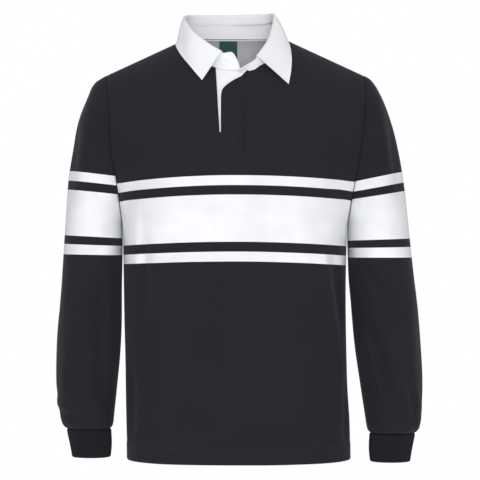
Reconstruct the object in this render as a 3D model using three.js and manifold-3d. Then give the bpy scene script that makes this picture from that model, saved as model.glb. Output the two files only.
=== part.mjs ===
// A long-sleeved rugby shirt, filled out as if worn, with nobody in it.
// Millimetres, +Z up. The wearer faces -Y; left and right are the wearer's, so left is +X.
// The origin lies between the neck points, level with the shoulders that hold the shirt up.
//
// Every panel is a thin wall over one shared form: horizontal sections for the body, and
// horizontal sections for each sleeve, which is open along the armhole and closed below it.

import * as THREE from "three";
import Module from "manifold-3d";
import { mergeVertices } from "three/addons/utils/BufferGeometryUtils.js";

// ---- Driving dimensions ----

const WALL = 1.5; // jersey, and the woven collar cloth
const RIB_WALL = 2; // the cuffs are ribbed and doubled
const SEAM = 0.4; // clearance between two pieces at a seam
const LAYER = WALL + SEAM; // one layer of cloth laid on another

const HEM_Z = -738;
const UNDERARM_Z = -320;
const SHOULDER_Z = -58; // outer end of the shoulder seam
const NECK_HALF = 85; // half the distance between the neck points
const NECK_Z = 8; // neck points
const FRONT_NECK_Z = -56; // bottom of the front neckline
const BACK_NECK_Z = 12;
const SHOULDER_SLOPE = 0.4615;
const ROUNDNESS = 2.5; // exponent of the body's sections: 2 is an ellipse

// How the front and back close over the shoulders, from the height where they start to.
const FRONT_CLOSE = { from: -240, power: 1.6 };
const BACK_CLOSE = { from: -220, power: 2.4 };

// The body: half-widths to the wearer's right and left, and depths before and behind.
const BODY = [
  { z: -752, right: 191, left: 205, front: 124, back: 118 },
  { z: -675, right: 192, left: 203, front: 125, back: 118 },
  { z: -610, right: 193, left: 199, front: 127, back: 119 },
  { z: -500, right: 196, left: 197, front: 131, back: 123 },
  { z: -400, right: 198, left: 197, front: 136, back: 129 },
  { z: -320, right: 200, left: 200, front: 140, back: 134 },
  { z: -240, right: 208, left: 211, front: 140, back: 136 },
  { z: -200, right: 215, left: 218, front: 139, back: 135 },
  { z: -107, right: 222, left: 229, front: 138, back: 134 },
  { z: -58, right: 228, left: 228, front: 138, back: 134 },
  { z: 40, right: 228, left: 228, front: 138, back: 134 },
];
const ROUND_ARM = 2.15; // exponent of the sleeves' sections
const HEAD_Z = -200; // above this a sleeve's head follows the armhole's depth
// How much wider than the armhole the form runs above it: a share, grown from the underarm.
const ARM_SWELL = { share: 0.18, above: 120, power: 1.35 };

// The sleeves: distance from the middle to the inner and outer edge, and the front and back.
const SLEEVE_RIGHT = [
  { z: -58, outer: 228.6, inner: 228, front: -90, back: 88 },
  { z: -73, outer: 250, inner: 224, front: -90, back: 88 },
  { z: -98, outer: 262, inner: 222, front: -90, back: 88 },
  { z: -141, outer: 278, inner: 219, front: -90, back: 88 },
  { z: -190, outer: 286, inner: 216, front: -90, back: 88 },
  { z: -247, outer: 295, inner: 208, front: -82, back: 80 },
  { z: -320, outer: 300.5, inner: 200.4, front: -76, back: 70 },
  { z: -440, outer: 309, inner: 200.8, front: -74, back: 58 },
  { z: -503, outer: 313, inner: 201.2, front: -72, back: 52 },
  { z: -557, outer: 315, inner: 204, front: -70, back: 48 },
  { z: -610, outer: 315, inner: 209, front: -68, back: 42 },
  { z: -650, outer: 311, inner: 213, front: -65, back: 36 },
  { z: -675, outer: 306, inner: 216, front: -59, back: 29 },
  { z: -684, outer: 298, inner: 219.5, front: -52, back: 21 },
];
const SLEEVE_LEFT = [
  { z: -58, outer: 228.6, inner: 228, front: -90, back: 88 },
  { z: -66, outer: 241, inner: 228, front: -90, back: 88 },
  { z: -87, outer: 254.5, inner: 228, front: -90, back: 88 },
  { z: -130, outer: 272, inner: 226, front: -90, back: 88 },
  { z: -190, outer: 288, inner: 219, front: -90, back: 88 },
  { z: -247, outer: 299, inner: 210, front: -83, back: 80 },
  { z: -320, outer: 308, inner: 200.4, front: -78, back: 70 },
  { z: -408, outer: 317, inner: 201.4, front: -76, back: 62 },
  { z: -461, outer: 322, inner: 205.5, front: -75, back: 56 },
  { z: -536, outer: 327, inner: 212, front: -73, back: 50 },
  { z: -600, outer: 330.5, inner: 221, front: -70, back: 43 },
  { z: -653, outer: 331, inner: 229, front: -67, back: 36 },
  { z: -682, outer: 328, inner: 234, front: -61, back: 30 },
  { z: -692, outer: 319, inner: 238.5, front: -53, back: 22 },
];
const CUFF_RIGHT = [
  { z: -684, outer: 298, inner: 219.5, front: -52, back: 21 },
  { z: -710, outer: 292, inner: 219.5, front: -50, back: 19 },
  { z: -734, outer: 288, inner: 220.5, front: -48, back: 17 },
];
const CUFF_LEFT = [
  { z: -692, outer: 319, inner: 238.5, front: -53, back: 22 },
  { z: -718, outer: 313.5, inner: 238.5, front: -51, back: 20 },
  { z: -742, outer: 310, inner: 239.5, front: -49, back: 18 },
];

// Soft hollows and swells of the cloth: where they run, how far they reach and how deep.
const BODY_FOLDS = [
  { x: -152, lean: 0.04, top: -270, foot: -640, width: 26, depth: -3.5 },
  { x: -118, lean: 0.05, top: -330, foot: -720, width: 34, depth: 2.5 },
  { x: 150, lean: -0.03, top: -280, foot: -600, width: 26, depth: -3.5 },
  { x: 112, lean: -0.05, top: -360, foot: -730, width: 36, depth: 2.5 },
  { x: 20, lean: 0.06, top: -470, foot: -735, width: 40, depth: -2 },
];

// The neckline is walked from -2 (centre front) over -1 (right neck point), 0 (centre
// back) and 1 (left neck point) to 2. The roll is the collar's upper fold.
const ROLL = [
  { at: -2.07, x: 7, y: -82, z: -40 },
  { at: -1.97, x: -4, y: -86, z: -22 },
  { at: -1.83, x: -23, y: -87, z: -22 },
  { at: -1.5, x: -69, y: -61, z: 10 },
  { at: -1.25, x: -86, y: -32, z: 33 },
  { at: -1, x: -91, y: -4, z: 47 },
  { at: -0.5, x: -70, y: 38, z: 54 },
  { at: 0, x: -9, y: 60, z: 56 },
  { at: 0.5, x: 53, y: 40, z: 56 },
  { at: 1, x: 71, y: 0, z: 50 },
  { at: 1.25, x: 66, y: -34, z: 20 },
  { at: 1.45, x: 58, y: -55, z: -2 },
  { at: 1.6, x: 43, y: -78, z: -28 },
  { at: 1.8, x: 24, y: -90, z: -42 },
  { at: 1.95, x: 9, y: -93, z: -52 },
];
// The leaf's outer edge lies on the body at this place and height, before or behind.
const LEAF_EDGE = [
  { at: -1.83, x: -57, z: -76, side: -1 },
  { at: -1.6, x: -77, z: -52, side: -1 },
  { at: -1.3, x: -97, z: -26, side: -1 },
  { at: -1, x: -107, z: -9, side: -1 },
  { at: -0.5, x: -84, z: -2, side: 1 },
  { at: 0, x: -5, z: 0, side: 1 },
  { at: 0.5, x: 76, z: -2, side: 1 },
  { at: 1, x: 98, z: -6, side: -1 },
  { at: 1.25, x: 102, z: -28, side: -1 },
  { at: 1.45, x: 99, z: -56, side: -1 },
  { at: 1.6, x: 93, z: -81, side: -1 },
];
const LEAF_CLEAR = 2.4; // the leaf's outer face above the body
const LEAF_ROLL = 3.1; // the leaf's fold above the top of the stand
const LEAF_TURN = { share: 0.3, out: 6, up: 2 }; // where the leaf turns over, from the roll
const NECK_MIDDLE = new THREE.Vector3(-5, -12, 0);

// The placket, as heights and edges on the front.
const PLACKET = { left: 15, right: -24, foot: -197 };
// Its opening in the front: the edges, and how far the right edge has moved at z = 0.
const WINDOW = { left: 10, right: -28, rightAtTop: -34, foot: -192, reach: 300 };
// The white turned edge: how much shows beyond the navy one, and how its top leans in.
const FACING = { shows: 2, lean: 14, leansFrom: 0.8, leanPower: 1.2, tipDrop: 6 };
const UNDER = { left: 5, right: -39, foot: -196 };
const CROWDING = 1.6; // how much closer together the placket's rows are at its top
// Where the unbuttoned top corner of the placket has fallen open: its edge by height.
const FALLEN_EDGE = [
  { z: -112, x: -24 },
  { z: -100, x: -23.5 },
  { z: -90, x: -20.5 },
  { z: -80, x: -10 },
  { z: -72, x: 3 },
  { z: -67, x: 12 },
];

const BUTTON = { across: 11, thick: 2.4, rim: 1.2, dish: 0.7, hole: 1.6, spread: 1.5 };
const BUTTON_PLACE = { at: -1.865, height: 0.55 }; // along the neckline, and up the stand
const MOON = { half: 74, drop: 58, ends: 4 }; // half-moon facing inside the back neck
const LINING_EASE = 0.5; // pieces inside the back neck hang a little clear of it
const LABEL = { right: -29, left: 4, drop: 46, wall: 1 };

const NAVY = 0x2a2b31;
const WHITE = 0xf1f2f5;
const GREEN = 0x2d5b4c;

const COLUMNS = 20; // across one panel, or round one sleeve
const BODY_ROWS = 8; // hem to underarm
const ARM_ROWS = 11; // underarm to shoulder
const SLEEVE_ROWS = 11; // underarm to cuff
const NECK_COLUMN = 0.4; // share of a half panel that the neckline takes
const NECK_STEP = 2 / COLUMNS / NECK_COLUMN; // walk along the neckline over one column

// ---- Reading the tables ----

/** The value of one column at a key, on a smooth curve through the rows. */
function read(table, key, at, column) {
  const rising = table[0][key] < table[table.length - 1][key];
  const rows = rising ? table : [...table].reverse();
  const last = rows.length - 1;
  const place = THREE.MathUtils.clamp(at, rows[0][key], rows[last][key]);
  let i = 0;
  while (i < last - 1 && rows[i + 1][key] < place) i += 1;
  const slope = (k) => {
    const a = rows[Math.max(k - 1, 0)];
    const b = rows[Math.min(k + 1, last)];
    return (b[column] - a[column]) / (b[key] - a[key]);
  };
  const step = rows[i + 1][key] - rows[i][key];
  const t = (place - rows[i][key]) / step;
  const rise = rows[i + 1][column] - rows[i][column];
  const s0 = slope(i) * step;
  const s1 = slope(i + 1) * step;
  const square = t * t * (3 * rise - 2 * s0 - s1);
  return rows[i][column] + t * s0 + square + t ** 3 * (s0 + s1 - 2 * rise);
}

const lerp = THREE.MathUtils.lerp;
const sideName = (x) => (x < 0 ? "right" : "left");
const quarter = (share) => Math.sin((share * Math.PI) / 2);
const eased = (share) => (1 - Math.cos(Math.PI * share)) / 2;

// ---- The form of the body ----

/** Half-width of the body at a height; above the underarm it runs on past the armhole. */
function halfWidth(x, z) {
  const edge = read(BODY, "z", z, sideName(x));
  const climb = Math.max(0, z - UNDERARM_Z) / ARM_SWELL.above;
  return edge * (1 + ARM_SWELL.share * climb ** ARM_SWELL.power);
}

/** Height of the shoulder seam, carried on over the neck. */
function ridge(x) {
  const off = NECK_HALF - Math.abs(x);
  const ease = off > 0 ? 0.5 + (0.5 * Math.abs(x)) / NECK_HALF : 1;
  return NECK_Z + SHOULDER_SLOPE * off * ease;
}

/** Depth of a level section at x, before the shoulders close it. */
function sectionDepth(x, z, side) {
  const share = Math.min(1, Math.abs(x) / halfWidth(x, z));
  const depth = read(BODY, "z", z, side < 0 ? "front" : "back");
  return depth * (1 - share ** ROUNDNESS) ** (1 / ROUNDNESS);
}

/** Depth of the body's outside before (side -1) or behind (side 1) the shoulder line. */
function depthAt(x, z, side) {
  const close = side < 0 ? FRONT_CLOSE : BACK_CLOSE;
  const t = THREE.MathUtils.clamp((z - close.from) / (ridge(x) - close.from), 0, 1);
  return sectionDepth(x, z, side) * (1 - t ** close.power) ** (1 / close.power);
}

/** Less than nothing inside the body's form, more outside it. */
function formValue(p) {
  const side = p.y < 0 ? -1 : 1;
  const close = side < 0 ? FRONT_CLOSE : BACK_CLOSE;
  const t = Math.max(0, (p.z - close.from) / (ridge(p.x) - close.from));
  const y = Math.abs(p.y) / Math.max(sectionDepth(p.x, p.z, side), 1);
  return (y ** close.power + t ** close.power) ** (1 / close.power) - 1;
}

/** Moves a point out until it clears the body's form. */
function settle(point, clear) {
  const p = point.clone();
  for (let pass = 0; pass < 10; pass += 1) {
    const here = formValue(p);
    const out = new THREE.Vector3(
      formValue(p.clone().setX(p.x + 0.5)) - here,
      formValue(p.clone().setY(p.y + 0.5)) - here,
      formValue(p.clone().setZ(p.z + 0.5)) - here,
    ).multiplyScalar(2);
    const distance = here / out.length();
    if (distance >= clear) break;
    p.addScaledVector(out.normalize(), clear - distance);
  }
  return p;
}

/** A point of the front (side -1) or back (side 1), moved out of the form by some layers. */
function onBody(x, z, side, out = 0) {
  const step = 1;
  const depth = depthAt(x, z, side);
  const dx = (depthAt(x + step, z, side) - depthAt(x - step, z, side)) / (2 * step);
  const dz = (depthAt(x, z + step, side) - depthAt(x, z - step, side)) / (2 * step);
  const normal = new THREE.Vector3(-dx, side, -dz).normalize();
  return new THREE.Vector3(x, side * depth, z).addScaledVector(normal, out);
}

/** How far the body's soft folds move the cloth out at a place. */
function foldAt(x, z) {
  return BODY_FOLDS.reduce((sum, fold) => {
    if (z > fold.top || z < fold.foot) return sum;
    const along = (fold.top - z) / (fold.top - fold.foot);
    const middle = fold.x + fold.lean * (z - fold.top);
    const across = Math.exp(-(((x - middle) / fold.width) ** 2));
    return sum + fold.depth * across * Math.sin(Math.PI * Math.sqrt(along));
  }, 0);
}

// ---- Walls ----

/** Triangles between rows of vertex numbers, turned outwards for rows that climb. */
function weave(rows) {
  const triangles = [];
  for (let r = 0; r + 1 < rows.length; r += 1) {
    for (let c = 0; c + 1 < rows[r].length; c += 1) {
      const [a, b] = [rows[r][c], rows[r][c + 1]];
      const [d, e] = [rows[r + 1][c], rows[r + 1][c + 1]];
      if (a !== b && b !== e && a !== e) triangles.push([a, b, e]);
      if (a !== e && e !== d && a !== d) triangles.push([a, e, d]);
    }
  }
  return triangles;
}

/** A closed wall under an outer sheet. `neighbours` holds, by vertex, the ways to pieces
 *  beyond a seam, so that the wall's inner edge never leans into them. */
function shell(points, triangles, wall, neighbours = new Map()) {
  const normals = points.map(() => new THREE.Vector3());
  const used = new Map();
  for (const [a, b, c] of triangles) {
    const ab = points[b].clone().sub(points[a]);
    const ac = points[c].clone().sub(points[a]);
    const face = ab.cross(ac);
    [a, b, c].forEach((v) => normals[v].add(face));
    [[a, b], [b, c], [c, a]].forEach(([p, q]) => used.set(`${p} ${q}`, [p, q]));
  }
  const inner = points.map((point, v) => {
    const inward = normals[v].normalize().negate();
    (neighbours.get(v) ?? []).forEach((way) => {
      inward.addScaledVector(way, -Math.max(0, inward.dot(way)));
    });
    return point.clone().addScaledVector(inward.normalize(), wall);
  });
  const n = points.length;
  const faces = triangles.flatMap(([a, b, c]) => [[a, b, c], [a + n, c + n, b + n]]);
  for (const [p, q] of used.values()) {
    if (!used.has(`${q} ${p}`)) faces.push([q, p, p + n], [q, p + n, q + n]);
  }
  return solidGeometry([...points, ...inner], faces);
}

/** An indexed geometry of some points and faces. */
function solidGeometry(points, faces) {
  const geometry = new THREE.BufferGeometry().setFromPoints(points);
  geometry.setIndex(faces.flat());
  geometry.computeVertexNormals();
  return geometry;
}

/** A grid of points as a wall; rows climb and columns run towards the wearer's left
 *  on the front, as seen from outside. */
function gridWall(grid, wall) {
  const points = grid.flat();
  let next = 0;
  const rows = grid.map((row) => row.map(() => next++));
  return shell(points, weave(rows), wall);
}

// ---- Front and back ----

/** A point of the upper edge of a panel: neckline, then shoulder seam. */
function upperEdge(u, side) {
  const out = Math.abs(u);
  const sign = Math.sign(u) || 1;
  const neck = side < 0 ? FRONT_NECK_Z : BACK_NECK_Z;
  if (out <= NECK_COLUMN) {
    const turn = out / NECK_COLUMN;
    return { x: sign * NECK_HALF * quarter(turn), z: lerp(neck, NECK_Z, 1 - quarter(1 - turn)) };
  }
  const along = (out - NECK_COLUMN) / (1 - NECK_COLUMN);
  const x = lerp(NECK_HALF, read(BODY, "z", SHOULDER_Z, sideName(u)), along);
  return { x: sign * x, z: ridge(x) };
}

/** Height of the armhole rows, closer together at the underarm and at the shoulder. */
const armholeHeight = (row) => lerp(UNDERARM_Z, SHOULDER_Z, eased(row / ARM_ROWS));

/** One point of a panel's grid; rows above BODY_ROWS run along the armhole. */
function panelPoint(u, row, side) {
  const turn = (Math.abs(u) * Math.PI) / 2;
  const sign = Math.sign(u) || 1;
  if (row <= BODY_ROWS) {
    const z = lerp(HEM_Z, UNDERARM_Z, row / BODY_ROWS);
    const half = halfWidth(sign, z);
    const depth = read(BODY, "z", z, side < 0 ? "front" : "back");
    const x = sign * half * Math.sin(turn) ** (2 / ROUNDNESS);
    const y = side * depth * Math.abs(Math.cos(turn)) ** (2 / ROUNDNESS);
    const fold = foldAt(x, z) * Math.cos(turn);
    return new THREE.Vector3(x, y + side * fold, z);
  }
  const climb = eased((row - BODY_ROWS) / ARM_ROWS);
  const top = upperEdge(u, side);
  const foot = sign * halfWidth(sign, UNDERARM_Z) * Math.sin(turn) ** (2 / ROUNDNESS);
  const z = lerp(UNDERARM_Z, top.z, climb);
  const edgeZ = lerp(UNDERARM_Z, SHOULDER_Z, climb);
  const bend =
    read(BODY, "z", edgeZ, sideName(sign)) -
    lerp(halfWidth(sign, UNDERARM_Z), read(BODY, "z", SHOULDER_Z, sideName(sign)), climb);
  const x = lerp(foot, top.x, climb) + sign * Math.abs(u) ** 3 * bend;
  const fold = foldAt(x, z) * Math.cos(turn);
  return new THREE.Vector3(x, side * (depthAt(x, z, side) + fold), z);
}

/** A place between the corners of a panel's facets, moved out along the cloth. */
function onFacets(x, z, side, out) {
  const corner = (u, row) => panelPoint(THREE.MathUtils.clamp(u, -1, 1), row, side);
  const between = (u, row) => {
    const [c, r] = [Math.floor(u * COLUMNS * 0.5), Math.floor(row)];
    const step = 2 / COLUMNS;
    const low = corner(c * step, r).lerp(corner((c + 1) * step, r), u / step - c);
    const high = corner(c * step, r + 1).lerp(corner((c + 1) * step, r + 1), u / step - c);
    return low.lerp(high, row - r);
  };
  const [most, least, edgeMost] = [BODY_ROWS + ARM_ROWS - 1e-6, 0, 0.999];
  const halfPanel = read(BODY, "z", SHOULDER_Z, "left");
  const rowHeight = 30;
  let [u, row] = [x / halfPanel, most - 3];
  for (let pass = 0; pass < 60; pass += 1) {
    const here = between(u, row);
    u = THREE.MathUtils.clamp(u + (x - here.x) / (2 * halfPanel), -edgeMost, edgeMost);
    row = THREE.MathUtils.clamp(row + (z - here.z) / (2 * rowHeight), least, most);
  }
  const place = between(u, row);
  const normal = onBody(x, z, side, 1).sub(onBody(x, z, side));
  return new THREE.Vector3(x, place.y, z).addScaledVector(normal, out);
}

/** The front or back panel, from hem to shoulders. */
function panel(side) {
  const lastRow = BODY_ROWS + ARM_ROWS;
  const points = [];
  const neighbours = new Map();
  const rows = [];
  for (let row = 0; row <= lastRow; row += 1) {
    rows.push([]);
    for (let c = 0; c <= COLUMNS; c += 1) {
      const u = -side * lerp(-1, 1, c / COLUMNS);
      const point = panelPoint(u, row, side);
      const onSide = Math.abs(u) === 1 && row <= BODY_ROWS;
      const onShoulder = row === lastRow && Math.abs(u) >= NECK_COLUMN - 1e-9;
      const ways = [];
      if (onSide || onShoulder) {
        point.y = (side * SEAM) / 2;
        ways.push(new THREE.Vector3(0, -side, 0));
      }
      if (Math.abs(u) === 1 && row >= BODY_ROWS) ways.push(new THREE.Vector3(u, 0, 0));
      neighbours.set(points.length, ways);
      rows[row].push(points.length);
      points.push(point);
    }
  }
  return shell(points, weave(rows), WALL, neighbours);
}

// ---- Sleeves and cuffs ----

/** A quarter section from where a sleeve meets the body, or its inner side, round to its
 *  outer side: `edgeDepth` is how far from the middle line it starts. */
function sleeveQuarter(inner, outer, edgeDepth, depth, share) {
  const start = Math.PI - Math.asin(Math.min(1, edgeDepth / depth) ** (ROUND_ARM / 2));
  const reach = Math.abs(Math.cos(start)) ** (2 / ROUND_ARM);
  const half = (outer - inner) / (1 + reach);
  const angle = start * (1 - share);
  const cos = Math.cos(angle);
  return {
    out: outer - half + half * Math.sign(cos) * Math.abs(cos) ** (2 / ROUND_ARM),
    depth: depth * Math.abs(Math.sin(angle)) ** (2 / ROUND_ARM),
  };
}

/** How much deeper a sleeve's head is than the armhole beside it. */
function headSwell(table, hand, side) {
  const full = Math.abs(read(table, "z", HEAD_Z, side < 0 ? "front" : "back"));
  return full / depthAt(hand * read(BODY, "z", HEAD_Z, sideName(hand)), HEAD_Z, side);
}

/** A ring of a sleeve or cuff at a height: from the front of its inner side, round the
 *  outside, to the back of its inner side. */
function sleeveRing(table, hand, z) {
  const open = z > UNDERARM_Z;
  const inner = open ? read(BODY, "z", z, sideName(hand)) + SEAM : read(table, "z", z, "inner");
  const outer = Math.max(read(table, "z", z, "outer"), inner);
  const front = read(table, "z", z, "front");
  const back = read(table, "z", z, "back");
  const middle = open ? 0 : ((front + back) / 2) * Math.min(1, (UNDERARM_Z - z) / 120);
  const ring = [];
  for (let c = 0; c <= COLUMNS; c += 1) {
    const side = c <= COLUMNS / 2 ? -1 : 1;
    const share = 1 - Math.abs(1 - c / (COLUMNS / 2));
    const edge = open ? depthAt(hand * (inner - SEAM), z, side) : 0;
    const full = side < 0 ? middle - front : back - middle;
    const depth = z > HEAD_Z ? Math.max(edge * headSwell(table, hand, side), 0.1) : full;
    const at = sleeveQuarter(inner, outer, edge, depth, share);
    ring.push(new THREE.Vector3(hand * at.out, middle + side * at.depth, z));
  }
  return ring;
}

/** A sleeve: open rings along the armhole, closed ones from the underarm to the cuff. */
function sleeve(table, hand) {
  const points = [];
  const neighbours = new Map();
  const rows = [];
  const seamZ = table[table.length - 1].z;
  const heights = [];
  for (let row = 0; row < SLEEVE_ROWS; row += 1) {
    heights.push(lerp(seamZ, UNDERARM_Z, row / SLEEVE_ROWS));
  }
  for (let row = 0; row <= ARM_ROWS; row += 1) heights.push(armholeHeight(row));
  heights.forEach((z) => {
    const ring = sleeveRing(table, hand, z);
    const closed = z <= UNDERARM_Z;
    const tip = z === SHOULDER_Z;
    const numbers = ring.map((point, c) => {
      if (closed && c === COLUMNS) return null;
      if (tip && c > 0) return null;
      const onArmhole = !closed && (c === 0 || c === COLUMNS);
      if (onArmhole) neighbours.set(points.length, [new THREE.Vector3(-hand, 0, 0)]);
      points.push(point);
      return points.length - 1;
    });
    rows.push(numbers.map((v) => v ?? numbers[0]));
  });
  const triangles = weave(rows);
  if (hand < 0) triangles.forEach((t) => t.reverse());
  return shell(points, triangles, WALL, neighbours);
}

/** A ribbed cuff below a sleeve's seam. */
function cuff(table, hand) {
  const top = table[0].z;
  const foot = table[table.length - 1].z;
  const points = [];
  const rows = [foot, lerp(foot, top, 0.5), top - SEAM].map((z) => {
    const ring = sleeveRing(table, hand, z).slice(0, COLUMNS);
    const numbers = ring.map((point) => {
      points.push(point);
      return points.length - 1;
    });
    return [...numbers, numbers[0]];
  });
  const triangles = weave(rows);
  if (hand < 0) triangles.forEach((t) => t.reverse());
  return shell(points, triangles, RIB_WALL);
}

// ---- Collar ----

/** A corner of the neckline seam; see ROLL for how it is walked. */
function neckCorner(at) {
  const hand = at < 0 ? -1 : 1;
  const walk = Math.abs(at);
  const front = walk > 1;
  const x = hand * NECK_HALF * (front ? quarter(2 - walk) : quarter(walk));
  const lift = front ? 1 - quarter(walk - 1) : 1 - quarter(1 - walk);
  const z = lerp(front ? FRONT_NECK_Z : BACK_NECK_Z, NECK_Z, lift);
  return new THREE.Vector3(x, (front ? -1 : 1) * depthAt(x, z, front ? -1 : 1), z);
}

/** A point of the neckline seam, on the straight edges of the panels below it. */
function neckSeam(at) {
  const step = Math.floor(at / NECK_STEP);
  return neckCorner(step * NECK_STEP).lerp(neckCorner((step + 1) * NECK_STEP), at / NECK_STEP - step);
}

/** A place in a table that has columns x, y and z. */
const placeIn = (table, at) =>
  new THREE.Vector3(...["x", "y", "z"].map((column) => read(table, "at", at, column)));
const rollPoint = (at) => placeIn(ROLL, at);

/** Even steps along the neckline between two places. */
const steps = (from, to, count) =>
  Array.from({ length: count + 1 }, (_, i) => lerp(from, to, i / count));

const standFoot = (at) => neckSeam(at).add(new THREE.Vector3(0, 0, 1.5 * SEAM));
const standTop = (at) => rollPoint(at).add(new THREE.Vector3(0, 0, -LEAF_ROLL));

/** The stand: a band from the neck seam to just under the roll. */
function collarStand() {
  const places = steps(ROLL[0].at, ROLL[ROLL.length - 1].at, 40);
  const grid = [0, 0.5, 1].map((height) =>
    places.map((at) => standFoot(at).lerp(standTop(at), height)),
  );
  return gridWall(grid.reverse(), WALL);
}

/** The leaf: it leaves the roll, turns over and lies down on the shoulders. */
function collarLeaf() {
  const from = LEAF_EDGE[0].at;
  const to = LEAF_EDGE[LEAF_EDGE.length - 1].at;
  const places = steps(from, to, 36);
  const corners = LEAF_EDGE.map((row) => {
    const p = onBody(row.x, row.z, row.side, LEAF_CLEAR);
    return { at: row.at, x: p.x, y: p.y, z: p.z };
  });
  const grid = [0, 0.2, 0.45, 0.7, 1].map((fall) =>
    places.map((at) => {
      const roll = rollPoint(at);
      const edge = placeIn(corners, at);
      const out = roll.clone().sub(NECK_MIDDLE).setZ(0).normalize();
      const turn = roll.clone().lerp(edge, LEAF_TURN.share).addScaledVector(out, LEAF_TURN.out);
      turn.z = roll.z + LEAF_TURN.up;
      const first = roll.clone().lerp(turn, fall);
      const second = turn.clone().lerp(edge, fall);
      return settle(first.lerp(second, fall), LEAF_CLEAR);
    }),
  );
  return gridWall(grid, WALL);
}

// ---- Placket, facings, label and button ----

/** A strip laid on the front or back: heights by row, and the edges at each height. */
function strip({ heights, edges, side, out, columns, wall = WALL, lie = onBody }) {
  const grid = heights.map((share) =>
    Array.from({ length: columns + 1 }, (_, c) => {
      const { right, left, z } = edges(share, c / columns);
      const x = lerp(right, left, c / columns);
      return lie(x, z, side, out);
    }),
  );
  return gridWall(side < 0 ? grid : grid.map((row) => [...row].reverse()), wall);
}

const frontNeckAt = (x) => {
  const turn = Math.asin(Math.min(1, Math.abs(x) / NECK_HALF)) / (Math.PI / 2);
  return lerp(FRONT_NECK_Z, NECK_Z, 1 - quarter(1 - turn));
};
const backNeckAt = (x) => {
  const turn = Math.asin(Math.min(1, Math.abs(x) / NECK_HALF)) / (Math.PI / 2);
  return lerp(BACK_NECK_Z, NECK_Z, 1 - quarter(1 - turn));
};
const even = (count) => steps(0, 1, count);

/** The navy top side of the placket, with its corner fallen open. */
function placketOver() {
  const top = FALLEN_EDGE[FALLEN_EDGE.length - 1].z;
  return strip({
    side: -1,
    out: LAYER,
    columns: 3,
    heights: even(12),
    edges: (share) => {
      const z = lerp(PLACKET.foot, top, 1 - (1 - share) ** CROWDING);
      const right = z < FALLEN_EDGE[0].z ? PLACKET.right : read(FALLEN_EDGE, "z", z, "x");
      return { right, left: PLACKET.left, z };
    },
  });
}

/** The white facing behind it, which shows where the corner has fallen open. */
function placketFacing() {
  return strip({
    side: -1,
    out: 0,
    columns: 3,
    heights: even(10),
    edges: (share, across) => {
      const left = WINDOW.left - SEAM;
      const lean = FACING.lean * Math.max(0, share - FACING.leansFrom) ** FACING.leanPower;
      const right = PLACKET.right - FACING.shows + lean;
      const x = lerp(right, left, across);
      const top = frontNeckAt(x) - 3 * SEAM - FACING.tipDrop * (1 - across);
      return { right, left, z: lerp(WINDOW.foot + 3 * SEAM, top, share) };
    },
  });
}

/** The white under side, whose edge shows down the gap. */
function placketUnder() {
  return strip({
    side: -1,
    out: -LAYER,
    lie: onFacets,
    columns: 3,
    heights: even(10),
    edges: (share, across) => {
      const x = lerp(UNDER.right, UNDER.left, across);
      return { ...UNDER, z: lerp(UNDER.foot, frontNeckAt(x) - 3 * SEAM, share) };
    },
  });
}

/** The half-moon facing inside the back neck. */
function neckFacing() {
  return strip({
    side: 1,
    out: -LAYER - LINING_EASE,
    lie: onFacets,
    columns: 12,
    heights: even(4),
    edges: (share, across) => {
      const x = lerp(-MOON.half, MOON.half, across);
      const top = backNeckAt(x) - 3 * SEAM;
      const round = Math.sqrt(Math.max(0, 1 - (x / MOON.half) ** 2));
      const drop = lerp(MOON.ends, MOON.drop, round);
      return { right: -MOON.half, left: MOON.half, z: lerp(top - drop, top, share) };
    },
  });
}

/** The woven label on the half-moon. */
function neckLabel() {
  return strip({
    side: 1,
    out: -2 * (LAYER + LINING_EASE),
    lie: onFacets,
    columns: 4,
    wall: LABEL.wall,
    heights: even(4),
    edges: (share, across) => {
      const x = lerp(LABEL.right, LABEL.left, across);
      const top = backNeckAt(x) - 4 * SEAM;
      return { right: LABEL.right, left: LABEL.left, z: lerp(top - LABEL.drop, top, share) };
    },
  });
}

// ---- Joins and cuts ----

const wasm = await Module();
wasm.setup();

/** A geometry as a solid that can be cut. */
function asSolid(geometry) {
  const bare = geometry.clone();
  bare.deleteAttribute("normal");
  bare.deleteAttribute("uv");
  const merged = mergeVertices(bare, 1e-4);
  return new wasm.Manifold(
    new wasm.Mesh({
      numProp: 3,
      vertProperties: merged.attributes.position.array,
      triVerts: new Uint32Array(merged.index.array),
    }),
  );
}

/** A cut solid back as a geometry. */
function asGeometry(solid) {
  const mesh = solid.getMesh();
  const geometry = new THREE.BufferGeometry();
  geometry.setAttribute("position", new THREE.BufferAttribute(mesh.vertProperties, 3));
  geometry.setIndex(new THREE.BufferAttribute(mesh.triVerts, 1));
  geometry.computeVertexNormals();
  return geometry;
}

/** The opening that the placket fills, as a block through the front. */
function placketWindow() {
  const outline = new THREE.Shape([
    new THREE.Vector2(WINDOW.right, WINDOW.foot),
    new THREE.Vector2(WINDOW.left, WINDOW.foot),
    new THREE.Vector2(WINDOW.left, 0),
    new THREE.Vector2(WINDOW.rightAtTop, 0),
  ]);
  const block = new THREE.ExtrudeGeometry(outline, { depth: WINDOW.reach, bevelEnabled: false });
  return block.rotateX(Math.PI / 2);
}

/** The place of the neck button on the stand's right end: its middle and the way it faces. */
function buttonSeat() {
  const { at, height } = BUTTON_PLACE;
  const step = 0.05;
  const point = (place, share) => standFoot(place).lerp(standTop(place), share);
  const middle = point(at, height);
  const along = point(at + step, height).sub(point(at - step, height));
  const up = point(at, 1).sub(point(at, 0));
  return { middle, facing: up.cross(along).normalize() };
}

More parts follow.
